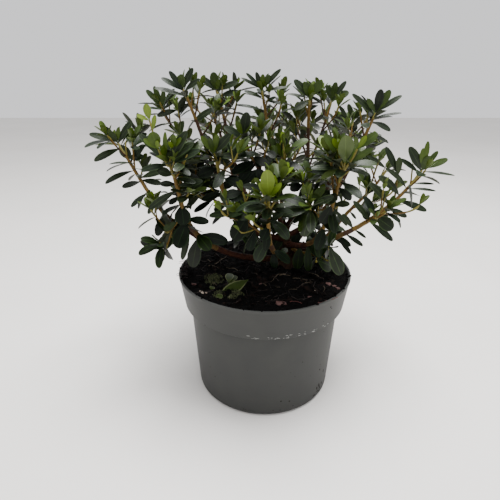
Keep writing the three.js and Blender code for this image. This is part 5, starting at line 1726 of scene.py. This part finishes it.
def lump_pattern(subdivisions, roughness, seed):
    """A rough little lump of unit radius."""
    bm = bmesh.new()
    bmesh.ops.create_icosphere(bm, subdivisions=subdivisions, radius=1)
    for vert in bm.verts:
        vert.co *= 1 + roughness * noise.noise(vert.co * LUMP_FEATURES + Vector((seed, 0, 0)))
    return pattern_of(bm)


def chip_pattern():
    """A flake of bark, flat and broken off at its ends."""
    warp, features = CHIP_WARP
    bm = bmesh.new()
    bmesh.ops.create_cube(bm, size=2)
    bmesh.ops.bevel(
        bm, geom=bm.edges[:], offset=CHIP_BEVEL, segments=1, profile=0.5, affect="EDGES", material=-1
    )
    for vert in bm.verts:
        vert.co *= 1 + warp * noise.noise(vert.co * features)
    return pattern_of(bm)


def off_middle(spread, random):
    """A number by chance in a spread about nought."""
    return (random() - 0.5) * spread


def spread_points(count, random, reach):
    """Places on the mix, as even over its area as chance makes them."""
    for _ in range(count):
        out, turn = reach * math.sqrt(random()), random() * math.tau
        yield out * math.cos(turn), out * math.sin(turn)


def matrix_at(place, turns, size):
    return np.array(Matrix.LocRotScale(Vector(place), Euler(turns), Vector(size)))


def lie_at(x, y, sunk, turns, size):
    return matrix_at((x, y, soil_surface(x, y) - sunk), turns, size)


def strewn(name, pattern, count, seed, reach, size_of, material):
    """Many copies of one small thing, strewn over the mix."""
    random = random_from(seed)
    rows = []
    for x, y in spread_points(count, random, reach):
        size = size_of(random)
        turns = [off_middle(CHIP_TILT, random), off_middle(CHIP_TILT, random), random() * math.tau]
        rows.append(lie_at(x, y, size[2] * CHIP_SUNK, turns, size))
    return joined_copies(name, pattern, place_at(pattern[0], rows), [material], CRUMB_SMOOTH)


def grain_size(limits):
    least, added = limits

    def size_of(random):
        size = least + added * random() ** 2
        return size, *(size * drawn(flatness, random) for flatness in GRAIN_FLATNESS)

    return size_of


def chip_size(random):
    return tuple(drawn(limits, random) for limits in BARK_CHIP_SIZES)


def make_rim_crumbs(lump, material):
    """Crumbs that lie on the pot's lip."""
    random = random_from(RIM_CRUMB_SEED)
    rows = []
    for _ in range(RIM_CRUMBS):
        turn, out, size = random() * math.tau, drawn(RIM_CRUMB_OUT, random), drawn(RIM_CRUMB_SIZE, random)
        place = (out * math.cos(turn), out * math.sin(turn), POT_HEIGHT + size * RIM_CRUMB_LIFT)
        rows.append(matrix_at(place, (turn, out, 0), [size * share for share in RIM_CRUMB_SHAPE]))
    return joined_copies("rim_crumbs", lump, place_at(lump[0], rows), [material], CRUMB_SMOOTH)


def make_rosy_chips(chip):
    random = random_from(ROSY_SEED)
    rows = []
    for x, y, turn, size in ROSY_CHIPS:
        turns = (PLACED_TILT * random(), PLACED_TILT * random(), turn)
        rows.append(lie_at(x, y, PLACED_SUNK, turns, size))
    return joined_copies("rosy_chips", chip, place_at(chip[0], rows), [finish("chip_rosy")], CRUMB_SMOOTH)


def make_pale_lumps(lump):
    rows = []
    for x, y, radius in PALE_LUMPS:
        size = [radius * share for share in PALE_LUMP_SHAPE]
        rows.append(lie_at(x, y, PLACED_SUNK, (*PALE_LUMP_TURNS, x), size))
    return joined_copies("pale_lumps", lump, place_at(lump[0], rows), [finish("lump_pale")], smooth_angle=60)


def make_crumbs():
    """Crumbs of peat and bark, strewn or where the photo shows them."""
    finishes = {name: finish(name) for name in ("crumb_peat", "crumb_brown")}
    patterns = {"lump": lump_pattern(2, 0.5, 3), "grain": lump_pattern(1, 0.4, 7)}
    chip = chip_pattern()
    for name, pattern, count, seed, reach, limits, material in STREWN:
        yield strewn(name, patterns[pattern], count, seed, reach, grain_size(limits), finishes[material])
    brown = finishes["crumb_brown"]
    yield strewn("bark_chips", chip, BARK_CHIPS, BARK_CHIP_SEED, BARK_CHIP_REACH, chip_size, brown)
    yield make_rim_crumbs(patterns["lump"], finishes["crumb_peat"])
    yield make_rosy_chips(chip)
    yield make_pale_lumps(patterns["lump"])


def lay_fibre(bm, random, x, y, turn, length, radius, lift, slot):
    """A root or straw that wanders over the mix and bridges its hollows."""
    points = []
    for step in range(FIBRE_PARTS + 1):
        along = step / FIBRE_PARTS
        px, py = x + length * along * math.cos(turn), y + length * along * math.sin(turn)
        inside = min(1, FIBRE_REACH / max(1, math.hypot(px, py)))
        rest = soil_surface(px * inside, py * inside)
        rise = lift * math.sin(math.pi * along) + (1 - inside) * FIBRE_OVER_RIM
        points.append((px, py, rest + radius + rise))
        turn += off_middle(FIBRE_WANDER, random)

    def radius_at(share, travel, angle):
        return radius * (1 - FIBRE_THINS_BY * share)

    add_limb(bm, points, FIBRE_SIDES, radius_at, lambda along: slot)


def make_fibres():
    """Dry roots and straws: most thin and dark, some pale, some over the rim at the left."""
    random = random_from(FIBRE_SEED)
    bm = bmesh.new()
    for count, reach, lengths, radii, lift, slot in LOOSE_FIBRES:
        for x, y in spread_points(count, random, reach):
            turn, length = random() * math.tau, drawn(lengths, random)
            lay_fibre(bm, random, x, y, turn, length, drawn(radii, random), lift * random(), slot)
    for x, y, bearing, length, radius, slot in LAID_STRAWS:
        lay_fibre(bm, random, x, y, math.radians(bearing), length, radius, STRAW_LIFT, slot)
    for i in range(RIM_ROOTS):
        turn = math.radians(RIM_ROOTS_FROM + RIM_ROOTS_SPAN * i / RIM_ROOTS)
        x, y = RIM_ROOTS_OUT * math.cos(turn), RIM_ROOTS_OUT * math.sin(turn)
        turn += off_middle(RIM_ROOT_WANDER, random)
        length, radius = drawn(RIM_ROOT_LENGTH, random), drawn(RIM_ROOT_RADIUS, random)
        lay_fibre(bm, random, x, y, turn, length, radius, RIM_ROOT_LIFT, 0)
    bmesh.ops.recalc_face_normals(bm, faces=bm.faces)
    finishes = [finish("fibre_dark"), finish("fibre_straw"), finish("fibre_red")]
    return object_from_bmesh("dry_fibres", bm, finishes, smooth_angle=60)


def make_moss():
    """Tufts of moss at the front left, of tiny pointed blades."""
    bm = bmesh.new()
    bmesh.ops.create_cone(
        bm, cap_ends=True, segments=BLADE_SIDES, radius1=BLADE_RADII[0], radius2=BLADE_RADII[1], depth=1,
        matrix=Matrix.Translation((0, 0, 0.5)),
    )
    blade = pattern_of(bm)
    random = random_from(MOSS_SEED)
    rows = []
    for x, y, reach_x, reach_y, count in MOSS_PATCHES:
        for _ in range(count):
            out, turn = math.sqrt(random()), random() * math.tau
            height = BLADE_HEIGHT[0] + BLADE_HEIGHT[1] * random() * (PATCH_EDGE - out)
            lean = (off_middle(BLADE_TILT, random), off_middle(BLADE_TILT, random), random() * math.tau)
            place = (x + reach_x * out * math.cos(turn), y + reach_y * out * math.sin(turn))
            rows.append(lie_at(*place, BLADE_SUNK, lean, (*BLADE_SIZE, height)))
    return joined_copies("moss_tuft", blade, place_at(blade[0], rows), [finish("moss")], CRUMB_SMOOTH)


def make_fallen_leaves():
    """A pale-edged leaf and a few smaller ones that lie on the mix."""
    materials = [
        leaf_material("leaf_fallen", ((34, 46, 14), (50, 64, 22)), shine=FALLEN_SHINE),
        leaf_material("leaf_fallen_margin", ((80, 88, 56), (104, 110, 76)), shine=FALLEN_SHINE),
        leaf_material("leaf_fallen_under", ((50, 56, 36), (66, 72, 50))),
    ]
    leaves = Leaves(FALLEN_WIDEST, MARGIN_COLUMNS, EDGES_ONLY, materials)
    for foot, tip, lift, width, bend in FALLEN_LEAVES:
        root = np.array([*foot, soil_surface(*foot) + lift[0]])
        way = np.array([*tip, soil_surface(*tip) + lift[1]]) - root
        length = np.linalg.norm(way)
        way /= length
        face = unit(FALLEN_FACING - way * way.dot(FALLEN_FACING))
        leaves.add(root, way, face, length, width, math.radians(bend), FALLEN_FOLD, FALLEN_TWIST)
    return leaves.make("leaves_fallen")


# Marks on the pot

MARK_SEED = 51
SPECK_THICK = 0.2
FINE_SPECK_THICK = 0.12
FINE_SPECK_SIZE = (0.25, 0.45)
FINE_SPECK_FROM = 4
FINE_SPECK_OVER = 130
FINE_SPECK_LOWER = 1.6
SCUFF_THICK = 0.08
SCUFF_SPREAD = 7
SCUFF_FROM = 1.2
SCUFF_OVER = 3.4
SCUFF_WIDTH = (0.5, 1.5)
SCUFF_HEIGHT = (0.14, 0.2)


def outer_radius(height):
    if height <= POT_BAND_FROM:
        return body_radius(height)
    rise = (height - POT_BAND_FROM) / (POT_HEIGHT - POT_LIP - POT_BAND_FROM)
    return POT_BAND_RADIUS + (POT_RIM_RADIUS - LIP_STEP - POT_BAND_RADIUS) * rise


def on_wall(bearing, height, wide, tall, thick):
    """A flat bead on the pot's wall."""
    radius, turn = outer_radius(height), math.radians(bearing)
    place = (radius * math.cos(turn), radius * math.sin(turn), height)
    return matrix_at(place, (0, 0, turn), (thick, wide, tall))


def fine_speck(random):
    size = drawn(FINE_SPECK_SIZE, random)
    bearing = 360 * random()
    height = FINE_SPECK_FROM + FINE_SPECK_OVER * random() ** FINE_SPECK_LOWER
    return on_wall(bearing, height, size, size, FINE_SPECK_THICK)


def scuff_near(middle, random):
    bearing = middle + off_middle(SCUFF_SPREAD, random)
    height = POT_BAND_FROM + SCUFF_FROM + SCUFF_OVER * random() ** 2
    return on_wall(bearing, height, drawn(SCUFF_WIDTH, random), drawn(SCUFF_HEIGHT, random), SCUFF_THICK)


def make_pot_marks():
    """Dark specks of soil splashed on the wall, and pale scuffs along the band's edge."""
    bm = bmesh.new()
    bmesh.ops.create_icosphere(bm, subdivisions=2, radius=1)
    bead = pattern_of(bm)
    random = random_from(MARK_SEED)
    specks = [on_wall(*row, SPECK_THICK) for row in DIRT_SPECKS]
    specks += [fine_speck(random) for _ in range(FINE_SPECKS)]
    scuffs = [scuff_near(middle, random) for middle in SCUFF_BEARINGS for _ in range(SCUFFS_EACH)]
    return [
        joined_copies("dirt_specks", bead, place_at(bead[0], specks), [finish("dirt_speck")]),
        joined_copies("pale_scuffs", bead, place_at(bead[0], scuffs), [finish("pale_scuff")]),
    ]


# Camera, light and floor

# Place in metres, degrees below level, focal length in pixels of the photo
CAMERA_PLACE = (-0.0161, -0.4085, 0.3327)
CAMERA_PITCH = 22.61
FOCAL_PIXELS = 399.8
PHOTO_PIXELS = 500
SENSOR_WIDTH = 36
CLIP_START = 0.01
FLOOR_SIZE = 4000
SKY_COLOUR = (214, 214, 216)
SKY_STRENGTH = 1.5
# Name, place and target in metres, size, power
LAMPS = [
    ("ceiling", (0.15, 0.05, 1.7), (0, 0, 0.15), 1.0, 68),
    ("key", (0.2, -1.1, 1.2), (0, 0, 0.1), 0.6, 4),
]


def set_camera():
    data = bpy.data.cameras.new("photo_camera")
    data.sensor_width = SENSOR_WIDTH
    data.lens = FOCAL_PIXELS / PHOTO_PIXELS * SENSOR_WIDTH
    data.clip_start = CLIP_START
    camera = bpy.data.objects.new("photo_camera", data)
    camera.location = CAMERA_PLACE
    camera.rotation_euler = (math.radians(90 - CAMERA_PITCH), 0, 0)
    bpy.context.scene.collection.objects.link(camera)
    bpy.context.scene.camera = camera


def add_lamp(name, place, target, size, power):
    data = bpy.data.lights.new(name, "AREA")
    data.shape = "DISK"
    data.size = size
    data.energy = power
    lamp = bpy.data.objects.new(name, data)
    lamp.location = place
    lamp.rotation_euler = (Vector(target) - Vector(place)).to_track_quat("-Z", "Y").to_euler()
    bpy.context.scene.collection.objects.link(lamp)


def set_studio():
    bm = bmesh.new()
    bmesh.ops.create_grid(bm, x_segments=4, y_segments=4, size=FLOOR_SIZE)
    floor = object_from_bmesh("studio_floor", bm, [finish("studio_floor")])
    world = bpy.data.worlds.new("studio")
    world.use_nodes = True
    background = world.node_tree.nodes["Background"]
    background.inputs["Color"].default_value = (*linear(SKY_COLOUR), 1)
    background.inputs["Strength"].default_value = SKY_STRENGTH
    bpy.context.scene.world = world
    for lamp in LAMPS:
        add_lamp(*lamp)


# The pieces, each listed with a slot name and the nodes that it replaces. Each is attached to the root body,
# and the nodes that it replaces are hidden.

limbs = make_limbs()
grown = grow_shoots(limbs)
boughs = ["bough_" + row[0] for row in BOUGHS]
masses = ["foliage_" + row[0] for row in MASSES]
pieces = [(make_twigs(grown), "bark", masses)]
pieces += [(piece, "foliage", masses) for piece in make_leaves(limbs, grown)]
pieces.append((make_boughs(limbs), "bark", boughs))
pieces.append((make_trunk(limbs["trunk"]), "old_bark", ["trunk"]))
pieces.append((make_pot(), "pot_plastic", ["pot"]))
pieces.append((make_soil(), "potting_mix", ["soil"]))
pieces += [(piece, "pot_plastic", []) for piece in make_pot_marks()]
pieces += [(piece, "potting_mix", []) for piece in [*make_crumbs(), make_fibres()]]
pieces += [(piece, "foliage", []) for piece in (make_moss(), make_fallen_leaves())]
for piece, slot, nodes in pieces:
    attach(piece, "root")
    if nodes:
        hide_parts(*nodes)
set_camera()
set_studio()
